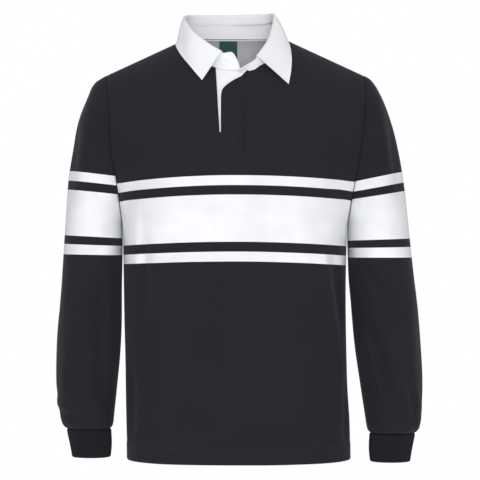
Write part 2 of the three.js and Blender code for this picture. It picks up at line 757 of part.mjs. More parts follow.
/** The neck button: a dished disc with four holes. */
function button() {
  const r = BUTTON.across / 2;
  const profile = [
    new THREE.Vector2(0, 0),
    new THREE.Vector2(r - 0.6, 0),
    new THREE.Vector2(r, BUTTON.thick / 2),
    new THREE.Vector2(r - 0.5, BUTTON.thick),
    new THREE.Vector2(r - BUTTON.rim, BUTTON.thick),
    new THREE.Vector2(r - BUTTON.rim - BUTTON.dish, BUTTON.thick - BUTTON.dish),
    new THREE.Vector2(0, BUTTON.thick - BUTTON.dish),
  ];
  let disc = asSolid(new THREE.LatheGeometry(profile, 16));
  for (let i = 0; i < 4; i += 1) {
    const angle = ((i + 0.5) * Math.PI) / 2;
    const hole = new THREE.CylinderGeometry(BUTTON.hole / 2, BUTTON.hole / 2, 10, 8);
    hole.translate(BUTTON.spread * Math.cos(angle), 0, BUTTON.spread * Math.sin(angle));
    disc = disc.subtract(asSolid(hole));
  }
  return asGeometry(disc);
}

// ---- The shirt ----

const cloth = (color) => new THREE.MeshStandardMaterial({ color, roughness: 0.9, metalness: 0 });
const shirt = new THREE.Group();

/** Adds a named piece to the shirt. */
function add(name, geometry, material) {
  const mesh = new THREE.Mesh(geometry, material);
  mesh.name = name;
  shirt.add(mesh);
  return mesh;
}

const frontPanel = asSolid(panel(-1)).subtract(asSolid(placketWindow()));
add("front", asGeometry(frontPanel), cloth(NAVY));
add("back", panel(1), cloth(NAVY));
add("sleeve_right", sleeve(SLEEVE_RIGHT, -1), cloth(NAVY));
add("sleeve_left", sleeve(SLEEVE_LEFT, 1), cloth(NAVY));
add("cuff_right", cuff(CUFF_RIGHT, -1), cloth(NAVY));
add("cuff_left", cuff(CUFF_LEFT, 1), cloth(NAVY));
add("collar_stand", collarStand(), cloth(WHITE));
add("collar_fall", collarLeaf(), cloth(WHITE));
add("placket_over", placketOver(), cloth(NAVY));
add("placket_facing", placketFacing(), cloth(WHITE));
add("placket_under", placketUnder(), cloth(WHITE));
add("neck_facing", neckFacing(), cloth(WHITE));
add("neck_label", neckLabel(), cloth(GREEN));

const seat = buttonSeat();
const neckButton = add("button", button(), cloth(WHITE));
neckButton.quaternion.setFromUnitVectors(new THREE.Vector3(0, 1, 0), seat.facing);
neckButton.position.copy(seat.middle).addScaledVector(seat.facing, SEAM);

export default shirt;
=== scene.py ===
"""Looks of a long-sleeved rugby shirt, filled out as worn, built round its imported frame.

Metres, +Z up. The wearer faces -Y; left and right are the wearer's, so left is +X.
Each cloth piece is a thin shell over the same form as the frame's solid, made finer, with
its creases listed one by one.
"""

import logging
import math
from dataclasses import dataclass, field
from enum import Enum
from typing import Callable, Sequence

import bmesh
import bpy
import numpy as np
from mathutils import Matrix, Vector


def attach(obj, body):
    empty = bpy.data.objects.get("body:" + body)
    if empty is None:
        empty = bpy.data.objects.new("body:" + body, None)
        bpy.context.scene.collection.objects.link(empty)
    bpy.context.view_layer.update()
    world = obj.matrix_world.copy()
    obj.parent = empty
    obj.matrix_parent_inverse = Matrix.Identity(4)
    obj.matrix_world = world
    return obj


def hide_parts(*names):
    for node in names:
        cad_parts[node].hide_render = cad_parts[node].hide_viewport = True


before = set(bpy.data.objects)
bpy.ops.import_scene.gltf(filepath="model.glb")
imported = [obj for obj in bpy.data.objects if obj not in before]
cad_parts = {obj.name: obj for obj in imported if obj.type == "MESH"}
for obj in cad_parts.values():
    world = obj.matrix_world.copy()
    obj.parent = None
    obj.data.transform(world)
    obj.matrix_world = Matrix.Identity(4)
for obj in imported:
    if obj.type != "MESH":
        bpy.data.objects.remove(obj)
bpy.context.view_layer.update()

Array = np.ndarray
Colour = tuple[float, float, float]

LOG = logging.getLogger("rugby_shirt")
BODY = "root"

MM = 0.001
WALL = 1.3 * MM  # jersey, and the woven collar cloth
RIB_WALL = 2.0 * MM
SEAM = 0.4 * MM  # clearance between two pieces at a seam
TIGHT_SEAM = 0.08 * MM  # clearance at the armhole, drawn tight by its stitches
LAYER = 1.9 * MM  # one layer of cloth laid on another

HEM_Z = -0.738
UNDERARM_Z = -0.320
SHOULDER_Z = -0.058
NECK_HALF = 0.085
NECK_Z = 0.008
FRONT_NECK_Z = -0.056
BACK_NECK_Z = 0.012
NECK_SHARE = 0.4  # share of a half panel that the neckline takes


class Side(Enum):
    """Which panel of the body: before or behind the wearer."""

    FRONT = -1
    BACK = 1


class Hand(Enum):
    """Which of the wearer's arms."""

    RIGHT = -1
    LEFT = 1


# ---- Sums used everywhere ----


def mix(low: Array | float, high: Array | float, share: Array | float) -> Array:
    """Goes from low to high by a share."""
    return low + (high - low) * share


def swell_at(distance: Array, width: Array | float) -> Array:
    """A smooth bump, 1 in its middle and about a third at its width."""
    return np.exp(-((distance / width) ** 2))


def step_up(low: float, high: float, at: Array) -> Array:
    """A soft step from 0 at low to 1 at high."""
    share = np.clip((at - low) / (high - low), 0, 1)
    return share * share * (3 - 2 * share)


def quarter(share: Array | float) -> Array:
    """A quarter of a sine wave, from 0 to 1."""
    return np.sin(np.asarray(share) * np.pi / 2)


def unit(vectors: Array) -> Array:
    """Vectors made one long."""
    return vectors / np.maximum(np.linalg.norm(vectors, axis=-1, keepdims=True), 1e-12)


class Table:
    """Rows of named sizes, read on a smooth curve through them."""

    def __init__(self, names: str, rows: Sequence[Sequence[float]]) -> None:
        """Keeps the rows in rising order of their first column.

        Args:
            names: The columns' names, the key first.
            rows: The sizes, a row for each section.
        """
        ordered = np.array(sorted(rows), dtype=float)
        self.keys = ordered[:, 0]
        self.columns = dict(zip(names.split()[1:], ordered[:, 1:].T))

    def read(self, name: str, at: Array | float) -> Array:
        """The value of one column.

        Args:
            name: The column.
            at: Places along the key.

        Returns:
            The column's values there.
        """
        keys, values = self.keys, self.columns[name]
        last = len(keys) - 1
        before = np.maximum(np.arange(last + 1) - 1, 0)
        after = np.minimum(np.arange(last + 1) + 1, last)
        slopes = (values[after] - values[before]) / (keys[after] - keys[before])
        place = np.clip(at, keys[0], keys[-1])
        i = np.clip(np.searchsorted(keys, place, side="left") - 1, 0, last - 1)
        step = keys[i + 1] - keys[i]
        share = (place - keys[i]) / step
        rise = values[i + 1] - values[i]
        start, end = slopes[i] * step, slopes[i + 1] * step
        square = share**2 * (3 * rise - 2 * start - end)
        return values[i] + share * start + square + share**3 * (start + end - 2 * rise)


# ---- The form of the body ----


@dataclass(frozen=True)
class Closing:
    """How the front or back closes over the shoulders, from a height."""

    start: float
    power: float


@dataclass(frozen=True)
class BodyForm:
    """The hollow form that the body's cloth lies on."""

    roundness: float = 2.5
    shoulder_slope: float = 0.4615
    swell: float = 0.18
    swell_reach: float = 0.120
    swell_power: float = 1.35
    closings: dict = field(
        default_factory=lambda: {
            Side.FRONT: Closing(-0.240, 1.6),
            Side.BACK: Closing(-0.220, 2.4),
        }
    )
    sections: Table = field(
        default_factory=lambda: Table(
            "z right left front back",
            [
                (-0.752, 0.191, 0.205, 0.124, 0.118),
                (-0.675, 0.192, 0.203, 0.125, 0.118),
                (-0.610, 0.193, 0.199, 0.127, 0.119),
                (-0.500, 0.196, 0.197, 0.131, 0.123),
                (-0.400, 0.198, 0.197, 0.136, 0.129),
                (-0.320, 0.200, 0.200, 0.140, 0.134),
                (-0.240, 0.208, 0.211, 0.140, 0.136),
                (-0.200, 0.215, 0.218, 0.139, 0.135),
                (-0.107, 0.222, 0.229, 0.138, 0.134),
                (-0.058, 0.228, 0.228, 0.138, 0.134),
                (0.040, 0.228, 0.228, 0.138, 0.134),
            ],
        )
    )

    def edge(self, hand: Array | float, z: Array | float) -> Array:
        """Half-width at a height, on the right (below 0) or left: the armhole, high up."""
        right, left = self.sections.read("right", z), self.sections.read("left", z)
        return np.where(np.asarray(hand) < 0, right, left)

    def half_width(self, x: Array | float, z: Array | float) -> Array:
        """Half-width of the form, which runs on past the armhole above the underarm."""
        climb = np.maximum(0, np.asarray(z) - UNDERARM_Z) / self.swell_reach
        return self.edge(x, z) * (1 + self.swell * climb**self.swell_power)

    def ridge(self, x: Array | float) -> Array:
        """Height of the shoulder seam, carried on over the neck.

        Args:
            x: Distance from the middle.

        Returns:
            The seam's height there.
        """
        off = NECK_HALF - np.abs(x)
        ease = np.where(off > 0, 0.5 + 0.5 * np.abs(x) / NECK_HALF, 1)
        return NECK_Z + self.shoulder_slope * off * ease

    def section_depth(self, x: Array, z: Array, side: Side) -> Array:
        """Depth of a level section, before the shoulders close it.

        Args:
            x: Places across.
            z: Their heights.
            side: Before or behind the wearer.

        Returns:
            How far the section reaches from the shoulder line.
        """
        share = np.minimum(1, np.abs(x) / self.half_width(x, z))
        depth = self.sections.read(side.name.lower(), z)
        return depth * (1 - share**self.roundness) ** (1 / self.roundness)

    def depth(self, x: Array, z: Array, side: Side) -> Array:
        """Depth of the form's outside before or behind the shoulder line.

        Args:
            x: Places across.
            z: Their heights.
            side: Before or behind the wearer.

        Returns:
            The depth, 0 where the shoulders have closed.
        """
        close = self.closings[side]
        reach = self.ridge(x) - close.start
        share = np.clip((np.asarray(z) - close.start) / reach, 0, 1)
        flat = self.section_depth(x, z, side)
        return flat * (1 - share**close.power) ** (1 / close.power)

    def value(self, points: Array) -> Array:
        """Below 0 inside the form and above 0 outside it.

        Args:
            points: Places to test.

        Returns:
            One value a point.
        """
        x, y, z = np.moveaxis(points, -1, 0)
        values = []
        for side in Side:
            close = self.closings[side]
            share = np.maximum(0, (z - close.start) / (self.ridge(x) - close.start))
            out = np.abs(y) / np.maximum(self.section_depth(x, z, side), MM)
            values.append((out**close.power + share**close.power) ** (1 / close.power) - 1)
        return np.where(y < 0, values[0], values[1])

    def settle(self, points: Array, clear: float) -> Array:
        """Moves points out until they clear the form.

        Args:
            points: Points in or near the form.
            clear: The least distance wanted.

        Returns:
            The points, each moved if it was too near.
        """
        probe = 0.5 * MM
        moved = points.copy()
        for _ in range(10):
            here = self.value(moved)
            slope = [self.value(moved + probe * axis) - here for axis in np.eye(3)]
            out = np.stack(slope, axis=-1) / probe
            length = np.maximum(np.linalg.norm(out, axis=-1), 1e-9)
            short = np.maximum(0, clear - here / length)
            moved = moved + out / length[..., None] * short[..., None]
        return moved

    def outward(self, x: Array, z: Array, side: Side) -> Array:
        """The way out of the form at places on the front or back.

        Args:
            x: Places across.
            z: Their heights.
            side: Before or behind the wearer.

        Returns:
            A unit vector for each place.
        """
        probe = 1 * MM
        across = self.depth(x + probe, z, side) - self.depth(x - probe, z, side)
        rise = self.depth(x, z + probe, side) - self.depth(x, z - probe, side)
        away = np.full_like(across, side.value * 2 * probe)
        return unit(np.stack([-across, away, -rise], axis=-1))

    def place(self, x: Array, z: Array, side: Side, out: Array | float = 0.0) -> Array:
        """Points of the front or back, moved out of the form.

        Args:
            x: Places across.
            z: Heights.
            side: The panel.
            out: How far outside the form's face.

        Returns:
            The points.
        """
        x, z = np.broadcast_arrays(np.asarray(x, float), np.asarray(z, float))
        face = np.stack([x, side.value * self.depth(x, z, side), z], axis=-1)
        return face + self.outward(x, z, side) * np.broadcast_to(out, x.shape)[..., None]


FORM = BodyForm()


def neckline_height(x: Array | float, foot: float) -> Array:
    """Height of the front or back neckline, whose lowest point is given."""
    turn = np.arcsin(np.minimum(1, np.abs(x) / NECK_HALF)) / (np.pi / 2)
    return mix(foot, NECK_Z, 1 - quarter(1 - turn))


# ---- Creases ----


@dataclass(frozen=True)
class Crease:
    """A soft trough or ridge of the cloth, on a curve from one place to another.

    Places are (distance across the piece, height). Depth below 0 is a trough.
    """

    start: tuple[float, float]
    bend: tuple[float, float]
    end: tuple[float, float]
    width: float
    depth: float
    lean: float = 0.0  # above 0, the side towards greater distances is the softer one

    def relief(self, across: Array, up: Array) -> Array:
        """How far the crease moves the cloth out.

        Args:
            across: Distances across the piece.
            up: Heights.

        Returns:
            The relief at each place.
        """
        share = np.linspace(0, 1, 25)
        way = [
            (1 - share) ** 2 * a + 2 * share * (1 - share) * b + share**2 * c
            for a, b, c in zip(self.start, self.bend, self.end)
        ]
        near = np.full(across.shape, np.inf)
        side = np.zeros(across.shape)
        along = np.zeros(across.shape)
        for i in range(len(share) - 1):
            origin = np.array([way[0][i], way[1][i]])
            run = np.array([way[0][i + 1], way[1][i + 1]]) - origin
            dx, dz = across - origin[0], up - origin[1]
            on = np.clip((dx * run[0] + dz * run[1]) / (run @ run), 0, 1)
            distance = np.hypot(dx - on * run[0], dz - on * run[1])
            closer = distance < near
            near = np.where(closer, distance, near)
            side = np.where(closer, np.sign(dx * run[1] - dz * run[0]), side)
            along = np.where(closer, (i + on) / (len(share) - 1), along)
        side = side * (-1 if self.end[1] < self.start[1] else 1)
        width = self.width * (1 + self.lean * side)
        middle = swell_at(near, width)
        shoulder = 0.3 * swell_at(near - 2.1 * width, 0.9 * width)
        strength = np.sin(np.pi * np.clip(along, 0.02, 0.98)) ** 0.7
        return self.depth * (middle - shoulder) * strength


@dataclass(frozen=True)
class Drape:
    """All that moves a piece's cloth off its form: creases and a slow unevenness."""

    creases: tuple[Crease, ...] = ()
    sway: float = 0.9 * MM
    phase: float = 0.0
    strength: float = 1.45  # deepens or flattens every crease alike

    def relief(self, across: Array, up: Array) -> Array:
        """How far the cloth stands off its form at each place.

        Args:
            across: Places across the cloth.
            up: Their heights.

        Returns:
            The distance at each place.
        """
        total = sum((c.relief(across, up) for c in self.creases), np.zeros(across.shape)) * self.strength
        slow = np.sin(across * 31 + up * 5 + self.phase) * np.sin(up * 11 - across * 7 + self.phase)
        quick = np.sin(across * 67 - up * 13 + 2 * self.phase) * np.sin(up * 23 + self.phase)
        return total + self.sway * (slow + 0.45 * quick)


# ---- Sheets of cloth ----


@dataclass
class Grid:
    """A sheet as rows and columns of points, which turn left from outside: rows climb."""

    points: Array
    knit: Array | None = None  # distance across and height of course, for the weave
    tube: Array | None = None  # rows whose two ends meet

    def across(self) -> Array:
        """Distance of each point along its row from the row's first point."""
        steps = np.linalg.norm(np.diff(self.points, axis=1), axis=-1)
        return np.concatenate([np.zeros((len(steps), 1)), np.cumsum(steps, axis=1)], axis=1)

    def climb(self) -> Array:
        """Distance of each point along its column from the column's foot."""
        steps = np.linalg.norm(np.diff(self.points, axis=0), axis=-1)
        return np.concatenate([np.zeros((1, steps.shape[1])), np.cumsum(steps, axis=0)])

    def normals(self) -> Array:
        """The way out of the sheet at each point.

        Returns:
            A unit vector a point.
        """
        across = np.gradient(self.points, axis=1)
        if self.tube is not None:
            round_end = self.points[:, 1] - self.points[:, -2]
            for end in (0, -1):
                across[:, end] = np.where(self.tube[:, None], round_end, across[:, end])
        up = np.gradient(self.points, axis=0)
        return unit(np.cross(across, up))

    def move_out(self, by: Array) -> None:
        """Moves every point out of the sheet by a distance of its own."""
        self.points = self.points + self.normals() * by[..., None]


class Sheet:
    """Makes a grid into an open mesh, then into a wall of cloth."""

    def __init__(self, name: str, grid: Grid) -> None:
        """Builds the open mesh with its weave's coordinates.

        Args:
            name: The piece's name.
            grid: The sheet's points.
        """
        rows, columns = grid.points.shape[:2]
        numbers = np.arange(rows * columns).reshape(rows, columns)
        corners = [numbers[:-1, :-1], numbers[:-1, 1:], numbers[1:, 1:], numbers[1:, :-1]]
        faces = np.stack([c.ravel() for c in corners], axis=1)
        mesh = bpy.data.meshes.new(name)
        mesh.from_pydata(grid.points.reshape(-1, 3).tolist(), [], faces.tolist())
        knit = grid.knit
        if knit is None:
            knit = np.stack([grid.across(), grid.climb()], axis=-1)
        layer = mesh.uv_layers.new(name="cloth")
        layer.data.foreach_set("uv", knit.reshape(-1, 2)[faces.ravel()].ravel())
        self.piece = bpy.data.objects.new(name, mesh)
        bpy.context.scene.collection.objects.link(self.piece)
        self.weld()

    def weld(self) -> None:
        """Joins the corners that lie together and drops faces without area."""
        work = bmesh.new()
        work.from_mesh(self.piece.data)
        bmesh.ops.remove_doubles(work, verts=work.verts, dist=0.002 * MM)
        bmesh.ops.dissolve_degenerate(work, dist=0.001 * MM, edges=work.edges)
        work.to_mesh(self.piece.data)
        work.free()

    def cut(self, planes: Sequence[tuple[Vector, Vector]], near: Callable[[Vector], bool]) -> None:
        """Cuts away the cloth that lies before every one of some planes.

        Args:
            planes: A point and a normal for each; what goes lies on the normals' side.
            near: Says whether a face is near enough to be cut at all.
        """
        work = bmesh.new()
        work.from_mesh(self.piece.data)
        for origin, way in planes:
            faces = [f for f in work.faces if near(f.calc_center_median())]
            edges = {e for f in faces for e in f.edges}
            corners = {v for f in faces for v in f.verts}
            bmesh.ops.bisect_plane(
                work, geom=[*faces, *edges, *corners], plane_co=origin, plane_no=way, dist=1e-7
            )
        gone = []
        for f in work.faces:
            middle = f.calc_center_median()
            if near(middle) and all((middle - origin).dot(way) > 0 for origin, way in planes):
                gone.append(f)
        bmesh.ops.delete(work, geom=gone, context="FACES")
        work.to_mesh(self.piece.data)
        work.free()

    def finish(self, wall: float, rim: float = 0.0) -> bpy.types.Object:
        """Gives the sheet its thickness, inwards, and rounds its edges.

        Args:
            wall: Thickness of the cloth.
            rim: How far the edges are rounded; 0 leaves them square.

        Returns:
            The finished piece.
        """
        thick = self.piece.modifiers.new("thickness", "SOLIDIFY")
        thick.thickness = wall
        thick.offset = -1
        thick.use_even_offset = False
        apply_modifier(self.piece, thick)
        if rim:
            soft = self.piece.modifiers.new("rim", "BEVEL")
            soft.width = rim
            soft.segments = 2
            soft.limit_method = "ANGLE"
            soft.angle_limit = math.radians(50)
            apply_modifier(self.piece, soft)
        self.piece.data.shade_smooth()
        return self.piece


def apply_modifier(piece: bpy.types.Object, modifier: bpy.types.Modifier) -> None:
    """Applies one modifier to its piece.

    Args:
        piece: What carries it.
        modifier: The one to apply.
    """
    bpy.ops.object.select_all(action="DESELECT")
    piece.select_set(True)
    bpy.context.view_layer.objects.active = piece
    bpy.ops.object.modifier_apply(modifier=modifier.name)


# ---- Finishes ----


class Nodes:
    """Adds and joins the nodes of one material."""

    def __init__(self, name: str) -> None:
        """Starts a material with a shader and its output.

        Args:
            name: The material's name.
        """
        self.material = bpy.data.materials.new(name)
        self.material.use_nodes = True
        self.tree = self.material.node_tree
        self.tree.nodes.clear()
        self.shader = self.add("ShaderNodeBsdfPrincipled")
        output = self.add("ShaderNodeOutputMaterial")
        self.join(self.shader.outputs["BSDF"], output.inputs["Surface"])

    def add(self, kind: str, **settings: object) -> bpy.types.Node:
        """A new node with some of its settings.

        Args:
            kind: The node's type in Blender.
            **settings: Its settings by name.

        Returns:
            The node.
        """
        node = self.tree.nodes.new(kind)
        for name, value in settings.items():
            setattr(node, name, value)
        return node

    def join(self, source: bpy.types.NodeSocket, target: bpy.types.NodeSocket) -> None:
        """Links one socket to another."""
        self.tree.links.new(source, target)

    def sum(self, operation: str, *values: object) -> bpy.types.NodeSocket:
        """A maths node on sockets or numbers.

        Args:
            operation: Its name in Blender.
            values: One to three sockets or numbers.

        Returns:
            The node's result.
        """
        node = self.add("ShaderNodeMath", operation=operation)
        for socket, value in zip(node.inputs, values):
            if isinstance(value, (int, float)):
                socket.default_value = value
            else:
                self.join(value, socket)
        return node.outputs[0]

    def cloth(self) -> tuple[bpy.types.NodeSocket, bpy.types.NodeSocket]:
        """Distance across the cloth and height of course, from the piece's own map.

        Returns:
            The two, as sockets.
        """
        split = self.add("ShaderNodeSeparateXYZ")
        self.join(self.add("ShaderNodeUVMap", uv_map="cloth").outputs[0], split.inputs[0])
        return split.outputs[0], split.outputs[1]

    def noise(self, scale: float, detail: float = 3.0) -> bpy.types.NodeSocket:
        """Noise on the piece's own coordinates.

        Args:
            scale: How fine it is.
            detail: How many finer layers it has.

        Returns:
            The noise, from 0 to 1.
        """
        place = self.add("ShaderNodeTexCoord")
        node = self.add("ShaderNodeTexNoise")
        node.inputs["Scale"].default_value = scale
        node.inputs["Detail"].default_value = detail
        self.join(place.outputs["Object"], node.inputs["Vector"])
        return node.outputs["Fac"]

    def wave(self, along: object, pitch: float) -> bpy.types.NodeSocket:
        """A sine wave of some pitch along a socket."""
        return self.sum("SINE", self.sum("MULTIPLY", along, 2 * math.pi / pitch))

    def bump(self, height: bpy.types.NodeSocket, strength: float, distance: float) -> None:
        """Raises the surface by a height.

        Args:
            height: The height, as a socket.
            strength: Share of the effect.
            distance: Height that a value of 1 stands for.
        """
        node = self.add("ShaderNodeBump")
        node.inputs["Strength"].default_value = strength
        node.inputs["Distance"].default_value = distance
        self.join(height, node.inputs["Height"])
        self.join(node.outputs[0], self.shader.inputs["Normal"])

    def shade(self, colour: object, by: bpy.types.NodeSocket, spread: float) -> bpy.types.NodeSocket:
        """A colour made a little lighter and darker by a value from 0 to 1.

        Args:
            colour: A colour, or a socket that gives one.
            by: The value.
            spread: How far the colour goes each way.

        Returns:
            The shaded colour.
        """
        light = self.add("ShaderNodeMapRange")
        light.inputs["From Min"].default_value = 0.3
        light.inputs["From Max"].default_value = 0.7
        light.inputs["To Min"].default_value = 1 - spread
        light.inputs["To Max"].default_value = 1 + spread
        self.join(by, light.inputs["Value"])
        scale = self.add("ShaderNodeVectorMath", operation="SCALE")
        if isinstance(colour, tuple):
            scale.inputs[0].default_value = colour
        else:
            self.join(colour, scale.inputs[0])
        self.join(light.outputs[0], scale.inputs["Scale"])
        return scale.outputs[0]

    def set(self, **values: float | tuple[float, ...]) -> None:
        """Sets the shader's own sockets, named with _ for a space."""
        for name, value in values.items():
            self.shader.inputs[name.replace("_", " ")].default_value = value


@dataclass(frozen=True)
class Jersey:
    """Heavy cotton jersey: fine wales, a soft dry face, and bands knitted in."""

    name: str = "jersey"
    navy: Colour = (0.0103, 0.0109, 0.0160)
    white: Colour = (0.750, 0.760, 0.785)
    bands: tuple[float, ...] = ()  # heights where navy and white change, from below
    wale: float = 1.3 * MM
    course: float = 1.0 * MM

    def colour(self, nodes: Nodes, up: bpy.types.NodeSocket) -> object:
        """Navy, or the bands by height of course.

        Args:
            nodes: The material's nodes.
            up: Height of course, as a socket.

        Returns:
            A colour, or a socket that gives one.
        """
        if not self.bands:
            return self.navy
        low, high = self.bands[0] - 0.02, self.bands[-1] + 0.02
        share = nodes.add("ShaderNodeMapRange")
        share.inputs["From Min"].default_value = low
        share.inputs["From Max"].default_value = high
        nodes.join(up, share.inputs["Value"])
        ramp = nodes.add("ShaderNodeValToRGB")
        ramp.color_ramp.interpolation = "CONSTANT"
        stops = ramp.color_ramp.elements
        stops[0].position = 0
        stops[0].color = (*self.navy, 1)
        stops.remove(stops[1])
        for i, height in enumerate(self.bands):
            stop = stops.new((height - low) / (high - low))
            stop.color = (*(self.white if i % 2 == 0 else self.navy), 1)
        nodes.join(share.outputs[0], ramp.inputs[0])
        return ramp.outputs[0]

    def build(self) -> bpy.types.Material:
        """Makes the material.

        Returns:
            The material.
        """
        nodes = Nodes(self.name)
        across, up = nodes.cloth()
        blotch = nodes.noise(14.0)
        shaded = nodes.shade(self.colour(nodes, up), blotch, 0.07)
        nodes.join(shaded, nodes.shader.inputs["Base Color"])
        wales = nodes.sum("ABSOLUTE", nodes.wave(across, 2 * self.wale))
        lean = nodes.sum("MULTIPLY", wales, 0.5 * self.course)
        loops = nodes.wave(nodes.sum("ADD", up, lean), self.course)
        knit = nodes.sum("MULTIPLY_ADD", loops, 0.35, wales)
        fluff = nodes.noise(900.0, 2.0)
        nodes.bump(nodes.sum("MULTIPLY_ADD", fluff, 0.8, knit), 0.35, 0.15 * MM)
        nodes.set(Roughness=0.92, Sheen_Weight=0.06, Sheen_Roughness=0.5)
        nodes.set(Sheen_Tint=(0.86, 0.89, 1.0, 1.0), Specular_IOR_Level=0.25)
        return nodes.material


@dataclass(frozen=True)
class Rib:
    """Fine cotton rib, whose ribs are in the mesh; this gives its loops."""

    name: str = "rib"
    navy: Colour = (0.0070, 0.0075, 0.0108)
    course: float = 0.9 * MM

    def build(self) -> bpy.types.Material:
        """Makes the material.

        Returns:
            The material.
        """
        nodes = Nodes(self.name)
        up = nodes.cloth()[1]
        shaded = nodes.shade(self.navy, nodes.noise(25.0), 0.08)
        nodes.join(shaded, nodes.shader.inputs["Base Color"])
        loops = nodes.wave(up, self.course)
        fluff = nodes.noise(900.0, 2.0)
        nodes.bump(nodes.sum("MULTIPLY_ADD", fluff, 0.8, loops), 0.3, 0.12 * MM)
        nodes.set(Roughness=0.93, Sheen_Weight=0.05, Sheen_Roughness=0.5)
        nodes.set(Sheen_Tint=(0.86, 0.89, 1.0, 1.0), Specular_IOR_Level=0.25)
        return nodes.material


@dataclass(frozen=True)
class Twill:
    """Pressed cotton twill: fine slanting lines and a little unevenness."""

    name: str = "twill"
    white: Colour = (0.785, 0.795, 0.82)
    pitch: float = 0.7 * MM

    def build(self) -> bpy.types.Material:
        """Makes the material.

        Returns:
            The material.
        """
        nodes = Nodes(self.name)
        across, up = nodes.cloth()
        shaded = nodes.shade(self.white, nodes.noise(30.0), 0.012)
        nodes.join(shaded, nodes.shader.inputs["Base Color"])
        slant = nodes.wave(nodes.sum("MULTIPLY_ADD", up, 0.8, across), self.pitch)
        rumple = nodes.noise(160.0)
        nodes.bump(nodes.sum("MULTIPLY_ADD", rumple, 2.0, slant), 0.25, 0.1 * MM)
        nodes.set(Roughness=0.8, Sheen_Weight=0.08, Sheen_Roughness=0.4)
        nodes.set(Specular_IOR_Level=0.3)
        return nodes.material


@dataclass(frozen=True)
class LabelWeave:
    """A dense green woven label with a slight satin face."""

    name: str = "label"
    green: Colour = (0.050, 0.152, 0.122)
    pitch: float = 0.4 * MM

    def build(self) -> bpy.types.Material:
        """Makes the material.

        Returns:
            The material.
        """
        nodes = Nodes(self.name)
        across, up = nodes.cloth()
        threads = nodes.sum("MULTIPLY", nodes.wave(across, self.pitch), nodes.wave(up, self.pitch))
        shaded = nodes.shade(self.green, nodes.noise(120.0), 0.1)
        nodes.join(shaded, nodes.shader.inputs["Base Color"])
        nodes.bump(threads, 0.3, 0.08 * MM)
        nodes.set(Roughness=0.55, Sheen_Weight=0.15, Specular_IOR_Level=0.4)
        return nodes.material


@dataclass(frozen=True)
class ButtonPlastic:
    """White rubbery plastic with a soft gloss."""

    name: str = "button"
    white: Colour = (0.83, 0.83, 0.82)

    def build(self) -> bpy.types.Material:
        """Makes the material.

        Returns:
            The material.
        """
        nodes = Nodes(self.name)
        shaded = nodes.shade(self.white, nodes.noise(200.0), 0.02)
        nodes.join(shaded, nodes.shader.inputs["Base Color"])
        nodes.bump(nodes.noise(1500.0), 0.1, 0.05 * MM)
        nodes.set(Roughness=0.38, Specular_IOR_Level=0.5, Coat_Weight=0.1, Coat_Roughness=0.3)
        return nodes.material


@dataclass(frozen=True)
class Thread:
    """Sewing thread, two plies twisted."""

    name: str
    colour: Colour

    def build(self) -> bpy.types.Material:
        """Makes the material.

        Returns:
            The material.
        """
        nodes = Nodes(self.name)
        shaded = nodes.shade(self.colour, nodes.noise(700.0), 0.12)
        nodes.join(shaded, nodes.shader.inputs["Base Color"])
        nodes.set(Roughness=0.6, Sheen_Weight=0.2, Specular_IOR_Level=0.35)
        return nodes.material


class Finishes:
    """All the shirt's materials, each made once."""

    def __init__(self, body_bands: tuple[float, ...], arm_bands: dict[Hand, tuple[float, ...]]) -> None:
        """Makes them.

        Args:
            body_bands: Heights of course where the body's bands change.
            arm_bands: The same on each sleeve.
        """
        self.body = Jersey("jersey_body", bands=body_bands).build()
        self.arms = {
            hand: Jersey(f"jersey_sleeve_{hand.name.lower()}", bands=bands).build()
            for hand, bands in arm_bands.items()
        }
        self.plain = Jersey("jersey_plain").build()
        self.rib = Rib().build()
        self.twill = Twill().build()
        self.label = LabelWeave().build()
        self.button = ButtonPlastic().build()
        self.navy_thread = Thread("thread_navy", (0.020, 0.021, 0.028)).build()
        self.white_thread = Thread("thread_white", (0.80, 0.81, 0.83)).build()


def dress(piece: bpy.types.Object, material: bpy.types.Material) -> bpy.types.Object:
    """Gives a piece its material and its place on the body.

    Args:
        piece: The piece.
        material: Its finish.

    Returns:
        The same piece.
    """
    piece.data.materials.clear()
    piece.data.materials.append(material)
    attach(piece, BODY)
    return piece


# ---- Stitches ----


